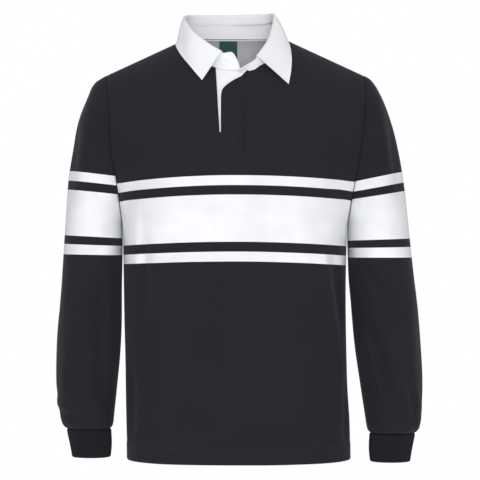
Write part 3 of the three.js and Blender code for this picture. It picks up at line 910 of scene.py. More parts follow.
@dataclass
class Stitching:
    """One thread's stitches, gathered row by row into one mesh."""

    name: str
    thick: float = 0.42 * MM
    sides: int = 5
    corners: list[Array] = field(default_factory=list)

    def sew(self, path: Array, outward: Array, length: float, gap: float) -> None:
        """Sews a row of stitches along a path.

        Args:
            path: Points of the path on the cloth.
            outward: The way out of the cloth at each.
            length: One stitch.
            gap: Between two stitches.
        """
        run = np.linalg.norm(np.diff(path, axis=0), axis=1)
        run = np.concatenate([[0], np.cumsum(run)])
        starts = np.arange(gap, run[-1] - length, length + gap)
        for start in starts:
            places = start + length * np.array([0, 0.22, 0.78, 1.0])
            spine = np.stack([np.interp(places, run, path[:, k]) for k in range(3)], axis=-1)
            away = np.array([np.interp(start + length / 2, run, outward[:, k]) for k in range(3)])
            self.add(spine, unit(away))

    def add(self, spine: Array, away: Array) -> None:
        """Adds one stitch: four places along it and the way out of the cloth.

        Args:
            spine: Four places along it.
            away: The way out of the cloth.
        """
        side = unit(np.cross(spine[-1] - spine[0], away))
        radius = self.thick / 2 * np.array([0.15, 1.0, 1.0, 0.15])
        lift = self.thick * np.array([-0.35, 0.25, 0.25, -0.35])
        turn = np.arange(self.sides) / self.sides * 2 * np.pi
        ring = np.cos(turn)[:, None] * side + np.sin(turn)[:, None] * away
        middle = spine + away * lift[:, None]
        self.corners.append(middle[:, None, :] + ring[None] * radius[:, None, None])

    def build(self, material: bpy.types.Material, slot: str) -> bpy.types.Object:
        """Makes the mesh of all the stitches.

        Args:
            material: The thread's finish.
            slot: Not used.

        Returns:
            The piece.
        """
        n = self.sides
        faces = [tuple(range(n))]
        for ring in range(3):
            for i in range(n):
                low, next_low = ring * n + i, ring * n + (i + 1) % n
                faces.append((low, low + n, next_low + n, next_low))
        faces.append(tuple(3 * n + i for i in reversed(range(n))))
        points = np.array(self.corners).reshape(-1, 3)
        every = [tuple(v + k * 4 * n for v in f) for k in range(len(self.corners)) for f in faces]
        mesh = bpy.data.meshes.new(self.name)
        mesh.from_pydata(points.tolist(), [], every)
        work = bmesh.new()
        work.from_mesh(mesh)
        bmesh.ops.recalc_face_normals(work, faces=work.faces)
        work.to_mesh(mesh)
        work.free()
        mesh.shade_smooth()
        piece = bpy.data.objects.new(self.name, mesh)
        bpy.context.scene.collection.objects.link(piece)
        return dress(piece, material)


# ---- The body's panels ----

# The course that a place on the body lies on: it falls towards the sides, by height.
BODY_FALL = Table("z right left", [(-0.40, 0.0055, 0.008), (-0.24, 0.0125, 0.009)])
BODY_BANDS = (-0.388, -0.371, -0.354, -0.273, -0.257, -0.240)
FALL_REACH = 0.2  # distance from the middle at which BODY_FALL is full


def body_course(x: Array, z: Array) -> Array:
    """Height of the knitted course that runs through a place on the body."""
    fall = np.where(x < 0, BODY_FALL.read("right", z), BODY_FALL.read("left", z))
    return z + fall * (np.abs(x) / FALL_REACH) ** 2


@dataclass
class Panel:
    """The front or back of the shirt, from its hem to the neck and shoulders."""

    side: Side
    drape: Drape
    name: str
    node: str
    flat: tuple[float, float]
    area: float
    neck_columns: int = 25
    side_columns: int = 44
    hem: float = 0.030
    groove: float = 0.6 * MM

    def shares(self) -> Array:
        """Columns as shares from the middle to the side, closer together at the seam.

        Returns:
            The shares, from -1 to 1.
        """
        neck = np.linspace(0, NECK_SHARE, self.neck_columns)
        rest = 1 - (1 - np.linspace(0, 1, self.side_columns)) ** 1.25
        half = np.concatenate([neck, mix(NECK_SHARE, 1, rest[1:])])
        return np.concatenate([-half[:0:-1], half])

    def below(self, shares: Array, z: float) -> Array:
        """One row of points below the underarm.

        Args:
            shares: The columns.
            z: The row's height.

        Returns:
            The points.
        """
        turn = (1 - np.cos(np.linspace(0, np.pi, 500))) / 2 * np.pi / 2
        depth = FORM.sections.read(self.side.name.lower(), z)
        points = np.zeros((len(shares), 3))
        power = 2 / FORM.roundness
        for hand in Hand:
            chosen = shares * hand.value >= 0
            out = np.abs(shares[chosen])
            half = FORM.edge(hand.value, z)
            x, y = half * np.sin(turn) ** power, depth * np.cos(turn) ** power
            y[-1] = 0
            run = np.concatenate([[0], np.cumsum(np.hypot(np.diff(x), np.diff(y)))])
            neck = out <= NECK_SHARE
            at_neck = np.interp(NECK_HALF, x, run)
            beyond = mix(at_neck, run[-1], (out - NECK_SHARE) / (1 - NECK_SHARE))
            within = np.interp(self.neck_x(out, 0.0), x, run)
            along = np.where(neck, within, beyond)
            points[chosen, 0] = hand.value * np.interp(along, run, x)
            points[chosen, 1] = self.side.value * np.interp(along, run, y)
        points[:, 2] = z
        return points

    @staticmethod
    def neck_x(out: Array, climb: Array | float) -> Array:
        """How far from the middle a neck column runs: evenly below, crowded at the top.

        Args:
            out: Share of the half panel.
            climb: Share of the way up.

        Returns:
            The distance.
        """
        turn = np.clip(out / NECK_SHARE, 0, 1)
        crowded = NECK_HALF * quarter(turn)
        start = 0.35
        even = np.where(
            turn < start,
            crowded,
            mix(NECK_HALF * quarter(start), NECK_HALF, (turn - start) / (1 - start)),
        )
        return mix(even, crowded, climb)

    def above(self, shares: Array, foot: Array, climbs: Array) -> Array:
        """The rows of points from the underarm to the neck and shoulders.

        Args:
            shares: The columns.
            foot: The row of points at the underarm.
            climbs: Share of the way up for each row, from 0 to 1.

        Returns:
            The points, a row for each climb.
        """
        hand, out = np.where(shares < 0, -1, 1), np.abs(shares)
        low = FRONT_NECK_Z if self.side is Side.FRONT else BACK_NECK_Z
        tip = FORM.edge(hand, SHOULDER_Z)
        along = np.clip((out - NECK_SHARE) / (1 - NECK_SHARE), 0, 1)
        top_x = np.where(out <= NECK_SHARE, self.neck_x(out, 1.0), mix(NECK_HALF, tip, along))
        top_z = np.where(
            out <= NECK_SHARE, neckline_height(top_x, low), FORM.ridge(top_x)
        )
        climb = climbs[:, None]
        z = mix(UNDERARM_Z, top_z, climb)
        edge_z = mix(UNDERARM_Z, SHOULDER_Z, climb)
        base = FORM.edge(hand, UNDERARM_Z)
        bend = FORM.edge(hand, edge_z) - mix(base, tip, climb)
        x = mix(np.abs(foot[:, 0]), top_x, climb) + out**6 * bend
        x = hand * x
        return np.stack([x, self.side.value * FORM.depth(x, z, self.side), z], axis=-1)

    def grid(self) -> Grid:
        """The panel's points with its creases, seams and hem.

        Returns:
            The grid.
        """
        shares = self.shares()
        hem_rows = HEM_Z + MM * np.array([0, 0.6, 1.6, 3.0])
        low = np.concatenate([hem_rows, np.arange(-0.7308, UNDERARM_Z - MM, 0.0042)])
        rows = [self.below(shares, z) for z in low]
        foot = self.below(shares, UNDERARM_Z)
        q = np.linspace(0, 1, 84)
        climbs = q**1.5 / (q**1.5 + (1 - q) ** 1.75)
        points = np.concatenate([np.array(rows), self.above(shares, foot, climbs)])
        points[..., 1] = self.side.value * np.maximum(np.abs(points[..., 1]), SEAM / 2)
        if self.side is Side.BACK:
            points = points[:, ::-1]
        grid = Grid(points)
        across = grid.across()
        middle = across[:, len(shares) // 2 :][:, :1]
        from_edge = np.minimum(across, across[:, -1:] - across)
        from_top = grid.climb()[-1] - grid.climb()
        signed = (across - middle) * (-self.side.value)
        up = points[..., 2]
        course = body_course(points[..., 0], up)
        grid.knit = np.stack([signed, course], axis=-1)
        calm = step_up(0.0, 0.030, from_edge) * step_up(0.0, 0.045, from_top)
        move = self.drape.relief(signed, up) * calm
        move -= self.groove * swell_at(from_edge, 2.2 * MM)
        shoulder = np.abs(points[..., 0]) > NECK_HALF
        move -= shoulder * self.groove * swell_at(from_top, 2.2 * MM)
        from_foot = up - HEM_Z
        move += 0.7 * MM * (1 - step_up(self.hem - 1.5 * MM, self.hem + 1.0 * MM, from_foot))
        move -= 0.5 * MM * swell_at(from_foot - self.hem + 3.5 * MM, 1.2 * MM)
        move -= 1.3 * MM * swell_at(from_foot, 1.1 * MM)
        grid.move_out(move)
        return grid

    def build(self, finishes: Finishes, thread: Stitching) -> bpy.types.Object:
        """Makes the panel.

        Args:
            finishes: The shirt's materials.
            thread: What its hem is sewn with.

        Returns:
            The piece.
        """
        grid = self.grid()
        for below in (self.hem - 2.4 * MM, self.hem - 6.0 * MM):
            row = int(np.argmin(np.abs(grid.points[:, 0, 2] - HEM_Z - below)))
            thread.sew(grid.points[row], grid.normals()[row], 2.6 * MM, 0.9 * MM)
        sheet = Sheet(self.name, grid)
        if self.side is Side.FRONT:
            cut_window(sheet)
        piece = dress(sheet.finish(WALL), finishes.body)
        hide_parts(self.node)
        return piece


# ---- Sleeves and cuffs ----


@dataclass(frozen=True)
class ArmForm:
    """One sleeve or cuff as level sections: inner and outer edge, front and back."""

    hand: Hand
    sections: Table
    roundness: float = 2.15
    head_z: float = -0.200
    settles_over: float = 0.120

    def head_swell(self, side: Side) -> float:
        """How much deeper the sleeve's head is than the armhole beside it.

        Args:
            side: Before or behind the wearer.

        Returns:
            The ratio of the two depths.
        """
        full = np.abs(self.sections.read(side.name.lower(), self.head_z))
        edge = self.hand.value * FORM.edge(self.hand.value, self.head_z)
        return float(full / FORM.depth(edge, self.head_z, side))

    def ring(self, z: float, shares: Array) -> Array:
        """A section from the front of its inner side, round the outside, to the back.

        Args:
            z: The height.
            shares: The columns, from 0 to 1.

        Returns:
            The points.
        """
        opened = z > UNDERARM_Z
        armhole = float(FORM.edge(self.hand.value, z))
        inner = armhole + TIGHT_SEAM if opened else float(self.sections.read("inner", z))
        outer = max(float(self.sections.read("outer", z)), inner)
        front, back = (float(self.sections.read(n, z)) for n in ("front", "back"))
        ease = min(1.0, (UNDERARM_Z - z) / self.settles_over)
        middle = 0.0 if opened else (front + back) / 2 * ease
        halves = []
        for side in Side:
            edge = float(FORM.depth(self.hand.value * armhole, z, side)) if opened else 0.0
            full = middle - front if side is Side.FRONT else back - middle
            depth = max(edge * self.head_swell(side), 0.1 * MM) if z > self.head_z else full
            halves.append(self.half(inner, outer, edge, depth, side.value, middle))
        curve = np.concatenate([halves[0], halves[1][-2::-1]])
        run = np.linalg.norm(np.diff(curve, axis=0), axis=1)
        run = np.concatenate([[0], np.cumsum(run)])
        top = len(halves[0]) - 1
        places = np.where(
            shares <= 0.5,
            run[top] * shares * 2,
            mix(run[top], run[-1], (shares - 0.5) * 2),
        )
        x, y = (np.interp(places, run, curve[:, k]) for k in range(2))
        return np.stack([self.hand.value * x, y, np.full_like(x, z)], axis=-1)

    def half(
        self, inner: float, outer: float, edge: float, depth: float, way: int, middle: float
    ) -> Array:
        """Half a section, from where it meets the body round to its outer side.

        Args:
            inner: Distance of the inner edge from the shirt's middle.
            outer: The same of the outer edge.
            edge: How far from the middle line the section starts.
            depth: How deep it gets.
            way: -1 before the middle line, 1 behind it.
            middle: Where the middle line runs.

        Returns:
            Points (distance from the shirt's middle, y).
        """
        power = 2 / self.roundness
        start = math.pi - math.asin(min(1.0, edge / depth) ** (self.roundness / 2))
        reach = abs(math.cos(start)) ** power
        half = (outer - inner) / (1 + reach)
        share = (1 - np.cos(np.linspace(0, np.pi, 200))) / 2
        angle = start * (1 - share)
        cosine = np.cos(angle)
        x = outer - half + half * np.sign(cosine) * np.abs(cosine) ** power
        y = middle + way * depth * np.abs(np.sin(angle)) ** power
        return np.stack([x, y], axis=-1)


RIGHT_ARM = ArmForm(
    Hand.RIGHT,
    Table(
        "z outer inner front back",
        [
            (-0.058, 0.2286, 0.228, -0.090, 0.088),
            (-0.073, 0.250, 0.224, -0.090, 0.088),
            (-0.098, 0.262, 0.222, -0.090, 0.088),
            (-0.141, 0.278, 0.219, -0.090, 0.088),
            (-0.190, 0.286, 0.216, -0.090, 0.088),
            (-0.247, 0.295, 0.208, -0.082, 0.080),
            (-0.320, 0.3005, 0.2004, -0.076, 0.070),
            (-0.440, 0.309, 0.2008, -0.074, 0.058),
            (-0.503, 0.313, 0.2012, -0.072, 0.052),
            (-0.557, 0.315, 0.204, -0.070, 0.048),
            (-0.610, 0.315, 0.209, -0.068, 0.042),
            (-0.650, 0.311, 0.213, -0.065, 0.036),
            (-0.675, 0.306, 0.216, -0.059, 0.029),
            (-0.684, 0.298, 0.2195, -0.052, 0.021),
        ],
    ),
)
LEFT_ARM = ArmForm(
    Hand.LEFT,
    Table(
        "z outer inner front back",
        [
            (-0.058, 0.2286, 0.228, -0.090, 0.088),
            (-0.066, 0.241, 0.228, -0.090, 0.088),
            (-0.087, 0.2545, 0.228, -0.090, 0.088),
            (-0.130, 0.272, 0.226, -0.090, 0.088),
            (-0.190, 0.288, 0.219, -0.090, 0.088),
            (-0.247, 0.299, 0.210, -0.083, 0.080),
            (-0.320, 0.308, 0.2004, -0.078, 0.070),
            (-0.408, 0.317, 0.2014, -0.076, 0.062),
            (-0.461, 0.322, 0.2055, -0.075, 0.056),
            (-0.536, 0.327, 0.212, -0.073, 0.050),
            (-0.600, 0.3305, 0.221, -0.070, 0.043),
            (-0.653, 0.331, 0.229, -0.067, 0.036),
            (-0.682, 0.328, 0.234, -0.061, 0.030),
            (-0.692, 0.319, 0.2385, -0.053, 0.022),
        ],
    ),
)
RIGHT_WRIST = ArmForm(
    Hand.RIGHT,
    Table(
        "z outer inner front back",
        [
            (-0.684, 0.298, 0.2195, -0.052, 0.021),
            (-0.710, 0.292, 0.2195, -0.050, 0.019),
            (-0.734, 0.288, 0.2205, -0.048, 0.017),
        ],
    ),
)
LEFT_WRIST = ArmForm(
    Hand.LEFT,
    Table(
        "z outer inner front back",
        [
            (-0.692, 0.319, 0.2385, -0.053, 0.022),
            (-0.718, 0.3135, 0.2385, -0.051, 0.020),
            (-0.742, 0.310, 0.2395, -0.049, 0.018),
        ],
    ),
)

# How far a course falls from the outer side of a sleeve to its inner side, by height.
ARM_FALL = {
    Hand.RIGHT: Table("z fall", [(-0.40, 0.001), (-0.376, 0.002), (-0.342, 0.006), (-0.229, 0.011)]),
    Hand.LEFT: Table(
        "z fall",
        [(-0.40, 0.0), (-0.38, 0.0), (-0.35, 0.004), (-0.264, 0.0175), (-0.23, 0.018)],
    ),
}
ARM_BANDS = {
    Hand.RIGHT: (-0.376, -0.358, -0.342, -0.262, -0.246, -0.229),
    Hand.LEFT: (-0.3816, -0.3635, -0.348, -0.264, -0.249, -0.231),
}


@dataclass
class Sleeve:
    """A sleeve: open along the armhole, and a tube from the underarm to the cuff."""

    form: ArmForm
    drape: Drape
    name: str
    node: str
    columns: int = 116
    gathers: int = 9
    groove: float = 0.6 * MM

    def build(self, finishes: Finishes) -> bpy.types.Object:
        """Makes the sleeve.

        Args:
            finishes: The shirt's materials.

        Returns:
            The piece.
        """
        hand = self.form.hand
        seam_z = float(self.form.sections.keys[0])
        edge = np.array([0, 0.003, 0.008, 0.014])
        inner = np.linspace(0.022, 0.978, self.columns)
        shares = np.concatenate([edge, inner, 1 - edge[::-1]])
        low = seam_z + MM * np.array([0, 0.8, 2.0, 3.6])
        low = np.concatenate([low, np.arange(seam_z + 5.6 * MM, UNDERARM_Z - MM, 0.0038)])
        q = np.linspace(0, 1, 66)
        high = mix(UNDERARM_Z, SHOULDER_Z, q**1.6 / (q**1.6 + (1 - q) ** 1.9))
        heights = np.concatenate([low, high])
        points = np.array([self.form.ring(float(z), shares) for z in heights])
        grid = Grid(points)
        across, up = grid.across(), points[..., 2]
        half = across[:, -1:] / 2
        signed = across - half
        outer, inner_x = (self.form.sections.read(n, up) for n in ("outer", "inner"))
        width = np.maximum(outer - inner_x, 1 * MM)
        inward = np.clip((outer - np.abs(points[..., 0])) / width, 0, 1)
        course = up + ARM_FALL[hand].read("fall", up) * inward
        grid.knit = np.stack([signed, course], axis=-1)
        opened = up > UNDERARM_Z
        grid.tube = heights <= UNDERARM_Z
        from_edge = np.minimum(across, across[:, -1:] - across)
        calm = step_up(0.0, 0.024, from_edge)
        calm = calm * step_up(0.0, 0.012, up - seam_z) * step_up(0.0, 0.03, SHOULDER_Z - up)
        move = self.drape.relief(signed, up) * calm
        sewn = np.where(opened, 1.0, np.exp(-np.maximum(0, UNDERARM_Z - up) / 0.004))
        move -= sewn * self.groove * swell_at(from_edge, 2.2 * MM)
        seam = ~opened * (from_edge < 0.02)
        move -= seam * 0.7 * MM * swell_at(from_edge, 1.6 * MM)
        from_foot = up - seam_z
        turn = signed / np.maximum(half, MM) * np.pi
        gather = np.sin(self.gathers * turn + 1.7 * np.sin(2 * turn)) - 0.35
        move += 0.9 * MM * gather * swell_at(from_foot - 6 * MM, 9 * MM)
        move -= 1.4 * MM * swell_at(from_foot, 1.8 * MM)
        if hand is Hand.RIGHT:
            grid.points, grid.knit, move = grid.points[:, ::-1], grid.knit[:, ::-1], move[:, ::-1]
        grid.move_out(move)
        piece = Sheet(self.name, grid).finish(WALL)
        dress(piece, finishes.arms[hand])
        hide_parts(self.node)
        return piece


@dataclass
class Cuff:
    """A deep ribbed cuff, whose folded foot is shown only as an edge drawn in."""

    form: ArmForm
    name: str
    node: str
    ribs: int = 92
    columns_a_rib: int = 6
    rib_height: float = 0.28 * MM

    def build(self, finishes: Finishes) -> bpy.types.Object:
        """Makes the cuff.

        Args:
            finishes: The shirt's materials.

        Returns:
            The piece.
        """
        foot, top = self.form.sections.keys[0], self.form.sections.keys[-1] - SEAM
        near = MM * np.array([0, 0.5, 1.3, 2.6])
        between = np.linspace(foot + 5 * MM, top - 4 * MM, 14)
        heights = np.concatenate([foot + near, between, top - near[::-1]])
        shares = np.linspace(0, 1, self.ribs * self.columns_a_rib + 1)
        grid = Grid(np.array([self.form.ring(float(z), shares) for z in heights]))
        up = grid.points[..., 2]
        grid.knit = np.stack([grid.across(), up], axis=-1)
        ribs = np.cos(shares * self.ribs * 2 * np.pi)[None, :]
        lengthwise = step_up(0.0, 2.5 * MM, top - up)
        move = self.rib_height * ribs * lengthwise
        turn = shares[None, :] * 2 * np.pi
        belly = np.sin((up - foot) / (top - foot) * np.pi)
        move = move + 0.8 * MM * belly * (1 + 0.6 * np.sin(3 * turn + up * 40))
        move -= 0.9 * MM * swell_at(up - foot, 0.9 * MM)
        move -= 1.0 * MM * swell_at(top - up, 1.4 * MM)
        grid.tube = np.ones(len(heights), bool)
        if self.form.hand is Hand.RIGHT:
            grid.points, grid.knit, move = grid.points[:, ::-1], grid.knit[:, ::-1], move[:, ::-1]
        grid.move_out(move)
        piece = Sheet(self.name, grid).finish(RIB_WALL)
        dress(piece, finishes.rib)
        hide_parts(self.node)
        return piece


# ---- Collar ----

ROLL = Table(
    "at x y z",
    [
        (-2.07, 0.007, -0.082, -0.040),
        (-1.97, -0.004, -0.086, -0.022),
        (-1.83, -0.023, -0.087, -0.022),
        (-1.5, -0.069, -0.061, 0.010),
        (-1.25, -0.086, -0.032, 0.033),
        (-1.0, -0.091, -0.004, 0.047),
        (-0.5, -0.070, 0.038, 0.054),
        (0.0, -0.009, 0.060, 0.056),
        (0.5, 0.053, 0.040, 0.056),
        (1.0, 0.071, 0.000, 0.050),
        (1.25, 0.066, -0.034, 0.020),
        (1.45, 0.058, -0.055, -0.002),
        (1.6, 0.0385, -0.080, -0.030),
        (1.8, 0.024, -0.090, -0.042),
        (1.95, 0.009, -0.093, -0.052),
    ],
)
# The leaf's outer edge lies on the body at this place and height; side as in Side.
LEAF_EDGE = [
    (-1.83, -0.057, -0.0745, Side.FRONT),
    (-1.6, -0.0755, -0.0515, Side.FRONT),
    (-1.3, -0.0950, -0.0260, Side.FRONT),
    (-1.0, -0.1035, -0.0065, Side.FRONT),
    (-0.5, -0.084, -0.002, Side.BACK),
    (0.0, -0.005, 0.000, Side.BACK),
    (0.5, 0.076, -0.002, Side.BACK),
    (1.0, 0.0935, -0.0035, Side.FRONT),
    (1.25, 0.0985, -0.028, Side.FRONT),
    (1.45, 0.0975, -0.056, Side.FRONT),
    (1.6, 0.093, -0.081, Side.FRONT),
]
NECK_MIDDLE = np.array([-0.005, -0.012, 0.0])
UP = np.array([0.0, 0.0, 1.0])


def neck_seam(at: Array) -> Array:
    """Points of the neckline, walked from -2 at the front, over 0 at the back, to 2.

    Args:
        at: Places along the walk.

    Returns:
        A point for each place.
    """
    hand, walk = np.where(at < 0, -1, 1), np.abs(at)
    front = walk > 1
    x = hand * NECK_HALF * np.where(front, quarter(2 - walk), quarter(walk))
    lift = np.where(front, 1 - quarter(walk - 1), 1 - quarter(1 - walk))
    z = mix(np.where(front, FRONT_NECK_Z, BACK_NECK_Z), NECK_Z, lift)
    y = np.where(front, -FORM.depth(x, z, Side.FRONT), FORM.depth(x, z, Side.BACK))
    return np.stack([x, y, z], axis=-1)


def roll_line(at: Array) -> Array:
    """Points of the collar's upper fold."""
    return np.stack([ROLL.read(name, at) for name in "xyz"], axis=-1)


def stand_point(at: Array, height: Array | float) -> Array:
    """Points of the stand's outer face, from its foot (0) to its top (1).

    Args:
        at: Places along the neckline's walk.
        height: Share of the way up, for each place.

    Returns:
        A point for each place.
    """
    over = np.asarray(step_up(1.64, 1.74, at))[..., None]
    foot = neck_seam(at) + 0.5 * SEAM * UP - over * np.array([0, 2.2 * MM, 4.2 * MM])
    top = roll_line(at) - 3.1 * MM * UP
    return mix(foot, top, np.asarray(height)[..., None])


@dataclass
class Collar:
    """The stand round the neck and the leaf that turns down over it."""

    leaf_clear: float = 2.4 * MM
    leaf_wall: float = 1.2 * MM
    inside: float = 19 * MM  # how far the leaf reaches down inside the neck
    columns: int = 220

    def stand(self, finishes: Finishes) -> bpy.types.Object:
        """Makes the stand: a band from the neck seam to just under the roll.

        Args:
            finishes: The shirt's materials.

        Returns:
            The piece.
        """
        places = np.linspace(ROLL.keys[0], ROLL.keys[-1], self.columns)
        heights = np.concatenate([[0, 0.02], np.linspace(0.06, 0.94, 15), [0.98, 1]])
        points = np.array([stand_point(places, np.full_like(places, h)) for h in heights])
        grid = Grid(points[:, ::-1])
        up = heights[:, None] * np.ones(len(places))
        behind = swell_at(places[::-1][None, :], 0.9)
        move = -0.5 * MM * behind * swell_at(up - 0.72, 0.03)
        walk = places[::-1][None, :]
        move = move + 0.35 * MM * np.sin(walk * 9.0) * np.sin(up * np.pi)
        move -= 0.25 * MM * swell_at(up, 0.03)
        grid.move_out(move)
        piece = Sheet("collar_stand_cloth", grid).finish(WALL, 0.35 * MM)
        dress(piece, finishes.twill)
        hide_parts("collar_stand")
        return piece

    def leaf_rows(self, at: Array) -> Array:
        """The leaf's rows from inside the neck, over the roll, down to its edge.

        Args:
            at: Places along the neckline.

        Returns:
            Points by row and place.
        """
        edge = np.array([FORM.place(x, z, side, self.leaf_clear) for _, x, z, side in LEAF_EDGE])
        corners = Table("at x y z", np.column_stack([[row[0] for row in LEAF_EDGE], edge]).tolist())
        end = np.stack([corners.read(name, at) for name in "xyz"], axis=-1)
        roll = roll_line(at)
        out = roll - NECK_MIDDLE
        out[..., 2] = 0
        out = unit(out)
        near_end = np.maximum(step_up(1.2, 1.6, at), step_up(1.4, 1.83, -at))
        turn = mix(roll, end, 0.3) + (2 * MM * (1 - near_end))[:, None] * out
        turn[..., 1] -= 4 * MM * near_end
        turn[..., 2] = mix(roll[..., 2], end[..., 2], 0.16 + 0.14 * near_end)
        inside = self.inside * (0.35 + 0.65 * np.exp(-((at / 1.1) ** 4)))
        rows = []
        for depth, back in [(1.0, 2.7), (0.75, 2.8), (0.5, 2.95), (0.3, 3.1)]:
            rows.append(roll - back * MM * out - (inside * depth)[:, None] * UP)
        for drop, back in [(3.6, 3.1), (2.2, 3.0), (1.1, 2.5), (0.35, 1.5), (-0.05, 0.6)]:
            rows.append(roll - back * MM * out - drop * MM * UP)
        for fall in np.concatenate([np.linspace(0.02, 0.93, 26), [0.955, 0.975, 0.99, 1.0]]):
            first, second = mix(roll, turn, fall), mix(turn, end, fall)
            rows.append(FORM.settle(mix(first, second, fall), self.leaf_clear))
        return np.array(rows)

    def leaf(self, finishes: Finishes, thread: Stitching) -> bpy.types.Object:
        """Makes the leaf: it leaves the roll, turns over and lies on the shoulders.

        Args:
            finishes: The shirt's materials.
            thread: The stitches that it adds to.

        Returns:
            The piece.
        """
        ends = 0.012
        places = np.linspace(LEAF_EDGE[0][0] + ends, LEAF_EDGE[-1][0] - ends, self.columns)
        first, last = places[:1], places[-1:]
        places = np.concatenate([first - ends, first - ends / 2, places, last + ends / 2, last + ends])
        grid = Grid(self.leaf_rows(places))
        across, down = grid.across(), grid.climb()
        from_end = np.minimum(across, across[:, -1:] - across)
        from_edge = np.minimum(down[-1] - down, np.where(down > self.inside, from_end, 1.0))
        turned = np.where(down > self.inside, 1.0, 0.0)
        move = 0.45 * MM * turned * np.exp(-((from_edge / (3.0 * MM)) ** 4))
        walk = places[None, :]
        soft = np.sin(walk * 7.3 + 0.4) * 0.8 + np.sin(walk * 16.0 + 1.1) * 0.35
        lying = step_up(0.25, 0.6, down / down[-1]) * (1 - step_up(0.85, 1.0, down / down[-1]))
        move += 0.9 * MM * soft * lying * turned
        grid.move_out(move)
        ways = grid.normals()
        middle = len(places) // 2
        seam_inset, least_down = 5 * MM, 0.03
        row = int(np.argmin(np.abs(from_edge[:, middle] - seam_inset) + (down[:, middle] < least_down)))
        inner = slice(6, -6)
        thread.sew(grid.points[row, inner], ways[row, inner], 2.2 * MM, 0.8 * MM)
        start = 12
        for column in (6, -7):
            run = slice(start, row + 1)
            thread.sew(grid.points[run, column], ways[run, column], 2.2 * MM, 0.8 * MM)
        piece = Sheet("collar_leaf_cloth", grid).finish(self.leaf_wall, 0.4 * MM)
        dress(piece, finishes.twill)
        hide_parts("collar_fall")
        return piece


# ---- Placket, facings and label ----


